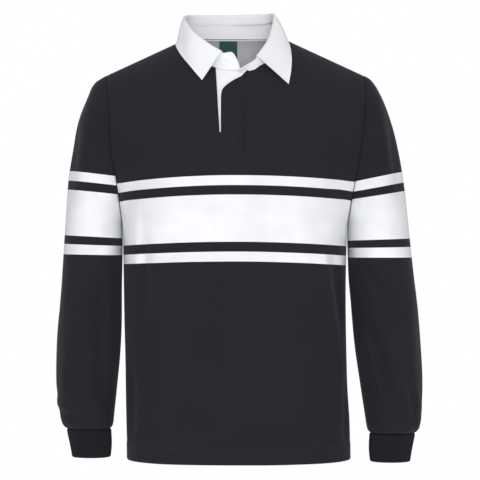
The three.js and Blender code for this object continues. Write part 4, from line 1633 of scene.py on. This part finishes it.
@dataclass(frozen=True)
class Placket:
    """The strips at the front opening, whose unbuttoned top corner has fallen open."""

    left: float = 0.015
    right: float = -0.024
    foot: float = -0.197
    window_left: float = 0.010
    window_right: float = -0.0262
    window_right_at_top: float = -0.0365
    window_foot: float = -0.166
    tail: float = 0.0035  # width of the navy strip where it runs out at the neckline
    laid: float = 1.5 * MM  # how far out the strip's face lies
    facing_shows: float = 1.8 * MM
    fallen: Table = field(
        default_factory=lambda: Table(
            "z x",
            [
                (-0.112, -0.024),
                (-0.100, -0.0235),
                (-0.090, -0.0205),
                (-0.080, -0.010),
                (-0.072, 0.003),
                (-0.067, 0.0115),
                (-0.062, 0.0160),
                (-0.057, 0.0205),
            ],
        )
    )

    def edge(self, z: Array) -> Array:
        """Where the navy strip's free edge runs, by height."""
        return np.where(z < self.fallen.keys[0], self.right, self.fallen.read("x", z))

    def over(self, finishes: Finishes, thread: Stitching) -> bpy.types.Object:
        """Makes the navy top side, with its edge stitching and the crossed box at its foot.

        Args:
            finishes: The shirt's materials.
            thread: The stitches that it adds to.

        Returns:
            The piece.
        """
        top = float(self.fallen.keys[-1])
        share = np.linspace(0, 1, 100)
        z = mix(self.foot, top, 1 - (1 - share) ** 1.5)[:, None]
        across = np.concatenate([[0, 0.03], np.linspace(0.08, 0.92, 18), [0.97, 1]])[None, :]
        x = mix(self.edge(z), np.maximum(self.left, self.edge(z) + self.tail), across)
        z = np.broadcast_to(z, x.shape)
        free = swell_at(x - self.edge(z), 0.012) * step_up(-0.120, -0.085, z)
        out = self.laid + 1.8 * MM * free * (1 - step_up(-0.075, -0.067, z) * 0.6)
        grid = Grid(FORM.place(x, z, Side.FRONT, out))
        near = np.minimum(x - self.edge(z), self.left - x)
        low = z - self.foot
        move = 0.25 * MM * np.sin(z * 160) * swell_at(near, 0.008)
        move -= 0.4 * MM * swell_at(near - 3.2 * MM, 0.9 * MM)
        move -= 0.4 * MM * swell_at(low - 3.0 * MM, 0.9 * MM)
        grid.move_out(move)
        box_top, inset = self.window_foot, 2.2 * MM
        right, left, foot = self.right + inset, self.left - inset, self.foot + inset
        seams = [
            [(left, foot), (left, -0.070)],
            [(right, foot), (right, -0.112)],
            [(right, foot), (left, foot)],
            [(right, box_top), (left, box_top)],
            [(right, foot), (left, box_top)],
            [(right, box_top), (left, foot)],
        ]
        for ends in seams:
            way = np.array([mix(np.array(ends[0]), np.array(ends[1]), s) for s in np.linspace(0, 1, 60)])
            face = FORM.place(way[:, 0], way[:, 1], Side.FRONT, self.laid)
            thread.sew(face, FORM.outward(way[:, 0], way[:, 1], Side.FRONT), 2.4 * MM, 0.8 * MM)
        piece = Sheet("placket_over_cloth", grid).finish(WALL, 0.4 * MM)
        dress(piece, finishes.plain)
        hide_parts("placket_over")
        return piece

    def edge_line(self, count: int) -> tuple[Array, Array]:
        """The free edge from the foot up, and the way out of the strip beside it.

        Args:
            count: How many points.

        Returns:
            The points (x, z), and a unit vector at each.
        """
        z = np.linspace(self.window_foot + 1 * MM, float(self.fallen.keys[-1]), 900)
        line = np.stack([self.edge(z), z], axis=-1)
        run = np.concatenate([[0], np.cumsum(np.linalg.norm(np.diff(line, axis=0), axis=1))])
        even = np.linspace(0, run[-1], count)
        line = np.stack([np.interp(even, run, line[:, k]) for k in range(2)], axis=-1)
        along = unit(np.gradient(line, axis=0))
        return line, np.stack([-along[:, 1], along[:, 0]], axis=-1)

    def facing(self, finishes: Finishes) -> bpy.types.Object:
        """Makes the white turned edge behind the navy one.

        Args:
            finishes: The shirt's materials.

        Returns:
            The piece.
        """
        line, out = self.edge_line(110)
        shown = [self.facing_shows, self.facing_shows - 0.4 * MM]
        reach = np.concatenate([shown, np.linspace(0.8, -11, 12) * MM])
        room = np.clip((self.left - line[:, :1]) * 0.6, 1.6 * MM, 11 * MM) / (11 * MM)
        reach = np.where(reach < 0, reach * room, reach)
        flat = line[:, None, :] + out[:, None, :] * reach[..., None]
        x, z = np.maximum(flat[..., 0], self.window_right + SEAM), flat[..., 1]
        lift = 1.6 * MM * step_up(-0.120, -0.085, z) * swell_at(reach - 1 * MM, 0.010)
        grid = Grid(FORM.place(x, z, Side.FRONT, 0.2 * MM + lift))
        piece = Sheet("placket_facing_cloth", grid).finish(0.9 * MM, 0.3 * MM)
        dress(piece, finishes.twill)
        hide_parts("placket_facing")
        return piece

    def under(self, finishes: Finishes) -> bpy.types.Object:
        """Makes the white under side, whose edge shows down the gap.

        Args:
            finishes: The shirt's materials.

        Returns:
            The piece.
        """
        x = np.concatenate([[-0.039, -0.0385], np.linspace(-0.0375, 0.0235, 24), [0.0245]])[None, :]
        share = np.linspace(0, 1, 50)[:, None]
        top = neckline_height(x, FRONT_NECK_Z) + 1.6 * MM
        z = mix(self.foot + 1 * MM, top, share)
        x = np.broadcast_to(x, z.shape)
        grid = Grid(FORM.place(x, z, Side.FRONT, -LAYER - 0.1 * MM))
        grid.move_out(0.3 * MM * np.sin(z * 70 + x * 60))
        piece = Sheet("placket_under_cloth", grid).finish(WALL, 0.3 * MM)
        dress(piece, finishes.twill)
        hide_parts("placket_under")
        return piece


PLACKET = Placket()


def cut_window(sheet: Sheet) -> None:
    """Cuts the opening that the placket fills out of the front.

    Args:
        sheet: The front panel.
    """
    slant = Vector((-PLACKET.window_foot, 0, PLACKET.window_right - PLACKET.window_right_at_top))
    planes = [
        (Vector((PLACKET.window_left, 0, 0)), Vector((-1, 0, 0))),
        (Vector((PLACKET.window_right, 0, PLACKET.window_foot)), slant.normalized()),
        (Vector((0, 0, PLACKET.window_foot)), Vector((0, 0, 1))),
    ]

    def near(middle: Vector) -> bool:
        """Whether a face is near the placket."""
        return abs(middle.x) < 0.055 and middle.z > -0.21 and middle.y < 0

    sheet.cut(planes, near)
    corner = Vector((PLACKET.window_left, 0, -0.0685))
    beyond = [
        (corner - Vector((0.1 * MM, 0, 0)), Vector((1, 0, 0))),
        (corner + Vector((14 * MM, 0, 0)), Vector((-1, 0, 0))),
        (corner, Vector((-0.0115, 0, 0.0105)).normalized()),
    ]
    sheet.cut(beyond, near)


@dataclass
class NeckInside:
    """The half-moon facing inside the back neck, and the bare woven label on it."""

    half: float = 0.074
    drop: float = 0.058
    ends: float = 0.004
    label_right: float = -0.029
    label_left: float = 0.004
    label_drop: float = 0.046
    ease: float = 0.5 * MM

    def moon(self, finishes: Finishes) -> bpy.types.Object:
        """Makes the half-moon facing.

        Args:
            finishes: The shirt's materials.

        Returns:
            The piece.
        """
        across = np.sin(np.linspace(-1, 1, 61) * np.pi / 2)[None, :]
        x = self.half * across
        round_out = np.sqrt(np.maximum(0, 1 - across**2))
        top = neckline_height(x, BACK_NECK_Z) + 1.0 * MM
        foot = top - mix(self.ends, self.drop, round_out)
        share = np.concatenate([[0, 0.02, 0.05], np.linspace(0.1, 1, 22)])[:, None]
        z = mix(foot, top, share)
        x = np.broadcast_to(x, z.shape)
        grid = Grid(FORM.place(x, z, Side.BACK, -LAYER - self.ease)[:, ::-1])
        grid.move_out(-0.35 * MM * swell_at(share - 0.09, 0.02) * np.ones_like(z))
        piece = Sheet("neck_facing_cloth", grid).finish(WALL, 0.3 * MM)
        dress(piece, finishes.twill)
        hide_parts("neck_facing")
        return piece

    def label(self, finishes: Finishes) -> bpy.types.Object:
        """Makes the label: plain and held by its top.

        Args:
            finishes: The shirt's materials.

        Returns:
            The piece.
        """
        x = np.linspace(self.label_right, self.label_left, 34)[None, :]
        top = neckline_height(x, BACK_NECK_Z) + 0.8 * MM
        share = np.linspace(0, 1, 44)[:, None]
        z = mix(top - self.label_drop, top, share)
        x = np.broadcast_to(x, z.shape)
        hang = 0.8 * MM * (1 - share) ** 2 + 0.25 * MM * np.sin(x * 150)
        out = -2 * (LAYER + self.ease) - hang
        grid = Grid(FORM.place(x, z, Side.BACK, out)[:, ::-1])
        piece = Sheet("neck_label_cloth", grid).finish(0.8 * MM, 0.25 * MM)
        dress(piece, finishes.label)
        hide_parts("neck_label")
        return piece


# ---- Neck button ----


@dataclass
class NeckButton:
    """A dished four-hole button on the right end of the stand, and its thread."""

    across: float = 11 * MM
    thick: float = 2.4 * MM
    rim: float = 1.2 * MM
    dish: float = 0.7 * MM
    hole: float = 1.6 * MM
    spread: float = 1.5 * MM
    at: float = -1.865
    height: float = 0.55

    def seat(self) -> tuple[Vector, Vector]:
        """Where the button sits on the stand, and the way it faces.

        Returns:
            The middle of its back, and the unit vector it faces along.
        """
        step = 0.05
        places = np.array([self.at, self.at + step, self.at - step])
        middle, ahead, behind = stand_point(places, np.full(3, self.height))
        low, high = stand_point(np.array([self.at] * 2), np.array([0.0, 1.0]))
        facing = unit(np.cross(high - low, ahead - behind))
        return Vector(middle + facing * SEAM), Vector(facing)

    def disc(self) -> bpy.types.Object:
        """Models the disc: a short cylinder with a sunk face inside a flat rim.

        Returns:
            The disc, without its holes.
        """
        bpy.ops.object.select_all(action="DESELECT")
        bpy.ops.mesh.primitive_cylinder_add(
            vertices=72, radius=self.across / 2, depth=self.thick, location=(0, 0, self.thick / 2)
        )
        disc = bpy.context.active_object
        disc.name = disc.data.name = "neck_button"
        bpy.ops.object.transform_apply(location=True, rotation=True, scale=True)
        bpy.ops.object.mode_set(mode="EDIT")
        bpy.ops.mesh.select_mode(type="FACE")
        self.select_faces(disc, lambda f: f.normal.z > 0.9)
        bpy.ops.mesh.inset(thickness=self.rim, depth=0)
        bpy.ops.mesh.inset(thickness=self.dish, depth=-self.dish)
        bpy.ops.mesh.inset(thickness=0.3 * MM, depth=0)
        bpy.ops.object.mode_set(mode="OBJECT")
        return disc

    @staticmethod
    def select_faces(piece: bpy.types.Object, wanted: Callable[[bmesh.types.BMFace], bool]) -> None:
        """Selects only the wanted faces of the piece in edit mode.

        Args:
            piece: What is being edited.
            wanted: Says whether a face is wanted.
        """
        bpy.ops.mesh.select_all(action="DESELECT")
        work = bmesh.from_edit_mesh(piece.data)
        for face in work.faces:
            face.select_set(wanted(face))
        bmesh.update_edit_mesh(piece.data)

    def drill(self, disc: bpy.types.Object) -> None:
        """Cuts the four holes.

        Args:
            disc: The disc to cut.
        """
        for quarter_turn in range(4):
            angle = (quarter_turn + 0.5) * math.pi / 2
            bpy.ops.object.select_all(action="DESELECT")
            place = (self.spread * math.cos(angle), self.spread * math.sin(angle), self.thick / 2)
            bpy.ops.mesh.primitive_cylinder_add(
                vertices=24, radius=self.hole / 2, depth=4 * self.thick, location=place
            )
            drill = bpy.context.active_object
            bpy.ops.object.transform_apply(location=True, rotation=True, scale=True)
            cut = disc.modifiers.new("hole", "BOOLEAN")
            cut.operation = "DIFFERENCE"
            cut.solver = "EXACT"
            cut.object = drill
            apply_modifier(disc, cut)
            bpy.data.objects.remove(drill, do_unlink=True)

    def build(self, finishes: Finishes, thread: Stitching) -> bpy.types.Object:
        """Makes the button and the thread that holds it.

        Args:
            finishes: The shirt's materials.
            thread: The white thread.

        Returns:
            The piece.
        """
        disc = self.disc()
        self.drill(disc)
        soft = disc.modifiers.new("rims", "BEVEL")
        soft.width = 0.28 * MM
        soft.segments = 3
        soft.limit_method = "ANGLE"
        soft.angle_limit = math.radians(35)
        apply_modifier(disc, soft)
        middle, facing = self.seat()
        turn = facing.to_track_quat("Z", "Y").to_matrix().to_4x4()
        turn.translation = middle
        disc.data.transform(turn)
        disc.data.shade_smooth()
        dress(disc, finishes.button)
        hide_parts("button")
        face = self.thick - self.dish
        for across in (-1, 1):
            for strand in (-0.22 * MM, 0.22 * MM):
                y = across * self.spread * math.sin(math.pi / 4) + strand
                reach = self.spread * math.cos(math.pi / 4) + 0.3 * MM
                spine = [turn @ Vector((reach * s, y, face)) for s in (-1, -0.6, 0.6, 1)]
                thread.add(np.array(spine), np.array(facing))
        return disc


@dataclass
class ButtonholeStitches:
    """The worked buttonhole on the left end of the stand, shown closed."""

    at: float = 1.885
    height: float = 0.5
    length: float = 13 * MM
    wide: float = 2.6 * MM
    pitch: float = 0.55 * MM

    def sew(self, thread: Stitching) -> None:
        """Sews it: short stitches side by side along both lips.

        Args:
            thread: The stitches that it adds to.
        """
        step = 0.03
        places = np.array([self.at - step, self.at, self.at + step])
        before, middle, after = stand_point(places, np.full(3, self.height))
        low, high = stand_point(np.array([self.at] * 2), np.array([0.0, 1.0]))
        along, up = unit(after - before), unit(high - low)
        out = unit(np.cross(up, before - after)) * -1
        for lip in (-1, 1):
            for k in np.arange(-self.length / 2, self.length / 2, self.pitch):
                centre = middle + along * k + up * lip * self.wide / 4 + out * 0.1 * MM
                reach = up * self.wide / 4
                spine = np.array([centre + reach * s for s in (-1, -0.6, 0.6, 1)])
                thread.add(spine, out)


# ---- Studio ----


@dataclass(frozen=True)
class SoftLight:
    """One soft light: where it stands, how big and how strong it is."""

    name: str
    place: tuple[float, float, float]
    size: float
    power: float


@dataclass
class Studio:
    """A plain pale floor, soft light and the camera before the shirt."""

    target: Vector = field(default_factory=lambda: Vector((0.0089, 0.0, -0.3507)))
    distance: float = 3.5
    frame_width: float = 0.8544  # what the camera takes in at the target
    sensor: float = 36.0
    floor_z: float = -1.45
    floor_half: float = 5.0
    sky: float = 0.49
    lights: tuple[SoftLight, ...] = (
        SoftLight("key", (-2.1, -2.6, 0.9), 1.6, 16.0),
        SoftLight("front", (0.2, -3.9, 0.1), 1.4, 74.0),
        SoftLight("fill", (2.2, -2.5, -0.1), 1.8, 8.0),
        SoftLight("top", (0.0, -0.9, 2.1), 1.8, 4.0),
        SoftLight("behind", (-0.6, 3.7, 0.5), 1.8, 34.0),
    )

    def camera(self) -> None:
        """Sets the camera level, square to the front."""
        data = bpy.data.cameras.new("camera")
        data.sensor_width = self.sensor
        data.lens = self.sensor * self.distance / self.frame_width
        camera = bpy.data.objects.new("camera", data)
        bpy.context.scene.collection.objects.link(camera)
        camera.location = self.target - Vector((0, self.distance, 0))
        camera.rotation_euler = (math.pi / 2, 0, 0)
        bpy.context.scene.camera = camera

    def light(self) -> None:
        """Sets the lights and an even pale surround."""
        for light in self.lights:
            data = bpy.data.lights.new(light.name, "AREA")
            data.size = light.size
            data.energy = light.power
            lamp = bpy.data.objects.new(light.name, data)
            bpy.context.scene.collection.objects.link(lamp)
            lamp.location = light.place
            lamp.rotation_euler = (self.target - Vector(light.place)).to_track_quat("-Z", "Y").to_euler()
        world = bpy.data.worlds.new("surround")
        world.use_nodes = True
        tree = world.node_tree
        seen = tree.nodes.new("ShaderNodeLightPath")
        strength = tree.nodes.new("ShaderNodeMix")
        strength.inputs["A"].default_value = self.sky
        strength.inputs["B"].default_value = 1.0
        tree.links.new(seen.outputs["Is Camera Ray"], strength.inputs["Factor"])
        background = tree.nodes["Background"]
        background.inputs["Color"].default_value = (1, 1, 1, 1)
        tree.links.new(strength.outputs["Result"], background.inputs["Strength"])
        bpy.context.scene.world = world
        bpy.context.scene.view_settings.view_transform = "Standard"

    def floor(self) -> None:
        """Lays the floor where the wearer would stand."""
        bpy.ops.object.select_all(action="DESELECT")
        bpy.ops.mesh.primitive_plane_add(size=2 * self.floor_half, location=(0, 0, self.floor_z))
        floor = bpy.context.active_object
        floor.name = "floor"
        nodes = Nodes("pale_floor")
        nodes.set(Base_Color=(0.86, 0.86, 0.87, 1), Roughness=0.7)
        floor.data.materials.append(nodes.material)

    def build(self) -> None:
        """Makes it all."""
        self.camera()
        self.light()
        self.floor()


# ---- The shirt ----

FRONT_DRAPE = Drape(
    creases=(
        Crease((-0.168, -0.300), (-0.170, -0.40), (-0.158, -0.560), 0.011, -2.6 * MM, 0.3),
        Crease((-0.128, -0.330), (-0.138, -0.43), (-0.120, -0.600), 0.020, 1.6 * MM),
        Crease((0.160, -0.372), (0.171, -0.44), (0.196, -0.545), 0.008, 3.0 * MM, -0.3),
        Crease((0.182, -0.360), (0.196, -0.43), (0.214, -0.520), 0.010, -3.0 * MM, 0.2),
        Crease((0.150, -0.470), (0.160, -0.58), (0.150, -0.700), 0.022, -1.6 * MM),
        Crease((-0.215, -0.235), (-0.175, -0.205), (-0.140, -0.150), 0.013, -2.4 * MM),
        Crease((-0.225, -0.290), (-0.190, -0.270), (-0.150, -0.262), 0.012, -2.0 * MM),
        Crease((0.215, -0.225), (0.180, -0.190), (0.150, -0.135), 0.014, -2.6 * MM),
        Crease((0.230, -0.285), (0.195, -0.262), (0.160, -0.250), 0.012, -2.2 * MM),
        Crease((-0.070, -0.420), (-0.052, -0.56), (-0.066, -0.725), 0.026, -1.5 * MM),
        Crease((0.045, -0.450), (0.060, -0.58), (0.050, -0.725), 0.030, 1.5 * MM),
        Crease((-0.205, -0.560), (-0.195, -0.64), (-0.210, -0.715), 0.014, -2.0 * MM),
        Crease((0.225, -0.590), (0.215, -0.66), (0.222, -0.720), 0.014, -1.8 * MM),
        Crease((0.080, -0.095), (0.110, -0.120), (0.120, -0.180), 0.016, -1.5 * MM),
        Crease((-0.060, -0.180), (-0.080, -0.230), (-0.070, -0.300), 0.024, -1.2 * MM),
    ),
    sway=0.8 * MM,
    phase=0.3,
    strength=1.7,
)
BACK_DRAPE = Drape(
    creases=(
        Crease((-0.150, -0.180), (-0.130, -0.32), (-0.142, -0.520), 0.018, -3.0 * MM, 0.2),
        Crease((0.140, -0.200), (0.122, -0.35), (0.135, -0.560), 0.018, -3.0 * MM, -0.2),
        Crease((-0.050, -0.300), (-0.040, -0.48), (-0.056, -0.690), 0.028, -2.0 * MM),
        Crease((0.048, -0.340), (0.060, -0.52), (0.052, -0.715), 0.030, 2.0 * MM),
        Crease((-0.225, -0.240), (-0.180, -0.200), (-0.145, -0.140), 0.014, -2.6 * MM),
        Crease((0.225, -0.235), (0.180, -0.205), (0.150, -0.150), 0.014, -2.4 * MM),
        Crease((-0.235, -0.420), (-0.180, -0.455), (-0.120, -0.450), 0.013, -2.4 * MM),
        Crease((0.235, -0.440), (0.175, -0.480), (0.110, -0.470), 0.013, -2.2 * MM),
        Crease((-0.200, -0.500), (-0.120, -0.535), (-0.040, -0.520), 0.014, -1.6 * MM),
        Crease((-0.070, -0.060), (0.000, -0.085), (0.066, -0.058), 0.014, -1.4 * MM),
        Crease((0.210, -0.560), (0.200, -0.64), (0.212, -0.710), 0.015, -2.0 * MM),
        Crease((-0.212, -0.580), (-0.200, -0.65), (-0.216, -0.720), 0.015, -2.0 * MM),
    ),
    sway=1.0 * MM,
    phase=1.9,
)
RIGHT_ARM_DRAPE = Drape(
    creases=(
        Crease((-0.128, -0.400), (-0.112, -0.50), (-0.122, -0.640), 0.014, -3.2 * MM, 0.3),
        Crease((-0.135, -0.345), (-0.105, -0.38), (-0.060, -0.390), 0.010, -1.8 * MM),
        Crease((-0.132, -0.445), (-0.100, -0.47), (-0.058, -0.462), 0.009, -1.8 * MM),
        Crease((-0.092, -0.530), (-0.070, -0.58), (-0.062, -0.660), 0.012, -1.6 * MM),
        Crease((-0.040, -0.140), (-0.052, -0.21), (-0.048, -0.300), 0.016, -1.6 * MM),
        Crease((-0.105, -0.655), (-0.060, -0.668), (-0.020, -0.655), 0.007, -1.8 * MM),
        Crease((-0.070, -0.635), (-0.030, -0.645), (0.020, -0.632), 0.008, 1.4 * MM),
        Crease((0.125, -0.380), (0.080, -0.410), (0.030, -0.402), 0.011, -2.6 * MM),
        Crease((0.128, -0.430), (0.085, -0.452), (0.020, -0.448), 0.010, -2.6 * MM),
        Crease((0.120, -0.480), (0.080, -0.505), (0.035, -0.500), 0.010, -2.0 * MM),
        Crease((0.060, -0.150), (0.072, -0.23), (0.062, -0.330), 0.018, -2.0 * MM),
        Crease((0.050, -0.540), (0.042, -0.60), (0.052, -0.660), 0.013, -2.0 * MM),
        Crease((0.000, -0.470), (0.008, -0.55), (-0.004, -0.640), 0.016, 1.4 * MM),
    ),
    sway=0.9 * MM,
    phase=0.9,
    strength=1.9,
)
LEFT_ARM_DRAPE = Drape(
    creases=(
        Crease((-0.146, -0.392), (-0.120, -0.415), (-0.100, -0.462), 0.009, -3.0 * MM, 0.2),
        Crease((-0.132, -0.500), (-0.112, -0.58), (-0.076, -0.668), 0.009, -4.2 * MM, 0.35),
        Crease((-0.108, -0.470), (-0.092, -0.55), (-0.080, -0.610), 0.013, 2.2 * MM),
        Crease((-0.104, -0.440), (-0.096, -0.50), (-0.104, -0.560), 0.010, -2.2 * MM),
        Crease((-0.060, -0.600), (-0.048, -0.64), (-0.040, -0.674), 0.009, -2.0 * MM),
        Crease((-0.050, -0.130), (-0.062, -0.20), (-0.055, -0.290), 0.015, -2.0 * MM),
        Crease((-0.110, -0.655), (-0.060, -0.672), (-0.015, -0.660), 0.007, -1.6 * MM),
        Crease((0.130, -0.390), (0.082, -0.418), (0.028, -0.410), 0.011, -2.8 * MM),
        Crease((0.128, -0.442), (0.078, -0.470), (0.024, -0.458), 0.010, -2.6 * MM),
        Crease((0.122, -0.500), (0.082, -0.520), (0.040, -0.512), 0.010, -2.0 * MM),
        Crease((0.062, -0.150), (0.070, -0.24), (0.058, -0.330), 0.018, -2.2 * MM),
        Crease((0.048, -0.550), (0.040, -0.61), (0.050, -0.668), 0.013, -2.0 * MM),
        Crease((0.004, -0.450), (0.012, -0.54), (0.000, -0.640), 0.016, 1.6 * MM),
    ),
    sway=0.9 * MM,
    phase=2.6,
    strength=1.9,
)


def report(piece: bpy.types.Object) -> None:
    """Logs a finished piece and its number of faces."""
    LOG.info("%s: %d faces", piece.name, len(piece.data.polygons))


def main() -> None:
    """Builds the studio and every piece of the shirt, in order."""
    logging.basicConfig(level=logging.INFO, format="%(name)s %(message)s")
    Studio().build()
    finishes = Finishes(BODY_BANDS, ARM_BANDS)
    navy, white = Stitching("stitches_navy"), Stitching("stitches_white", thick=0.36 * MM)
    front = Panel(Side.FRONT, FRONT_DRAPE, "front_cloth", "front", (0.56, 0.75), 0.37)
    back = Panel(Side.BACK, BACK_DRAPE, "back_cloth", "back", (0.56, 0.76), 0.385)
    report(front.build(finishes, navy))
    report(back.build(finishes, navy))
    report(Sleeve(RIGHT_ARM, RIGHT_ARM_DRAPE, "sleeve_right_cloth", "sleeve_right").build(finishes))
    report(Sleeve(LEFT_ARM, LEFT_ARM_DRAPE, "sleeve_left_cloth", "sleeve_left").build(finishes))
    report(Cuff(RIGHT_WRIST, "cuff_right_cloth", "cuff_right").build(finishes))
    report(Cuff(LEFT_WRIST, "cuff_left_cloth", "cuff_left").build(finishes))
    collar = Collar()
    report(collar.stand(finishes))
    report(collar.leaf(finishes, white))
    report(PLACKET.over(finishes, navy))
    report(PLACKET.facing(finishes))
    report(PLACKET.under(finishes))
    inside = NeckInside()
    report(inside.moon(finishes))
    report(inside.label(finishes))
    report(NeckButton().build(finishes, white))
    ButtonholeStitches().sew(white)
    report(navy.build(finishes.navy_thread, "jersey"))
    report(white.build(finishes.white_thread, "twill"))


if __name__ == "__main__":
    main()
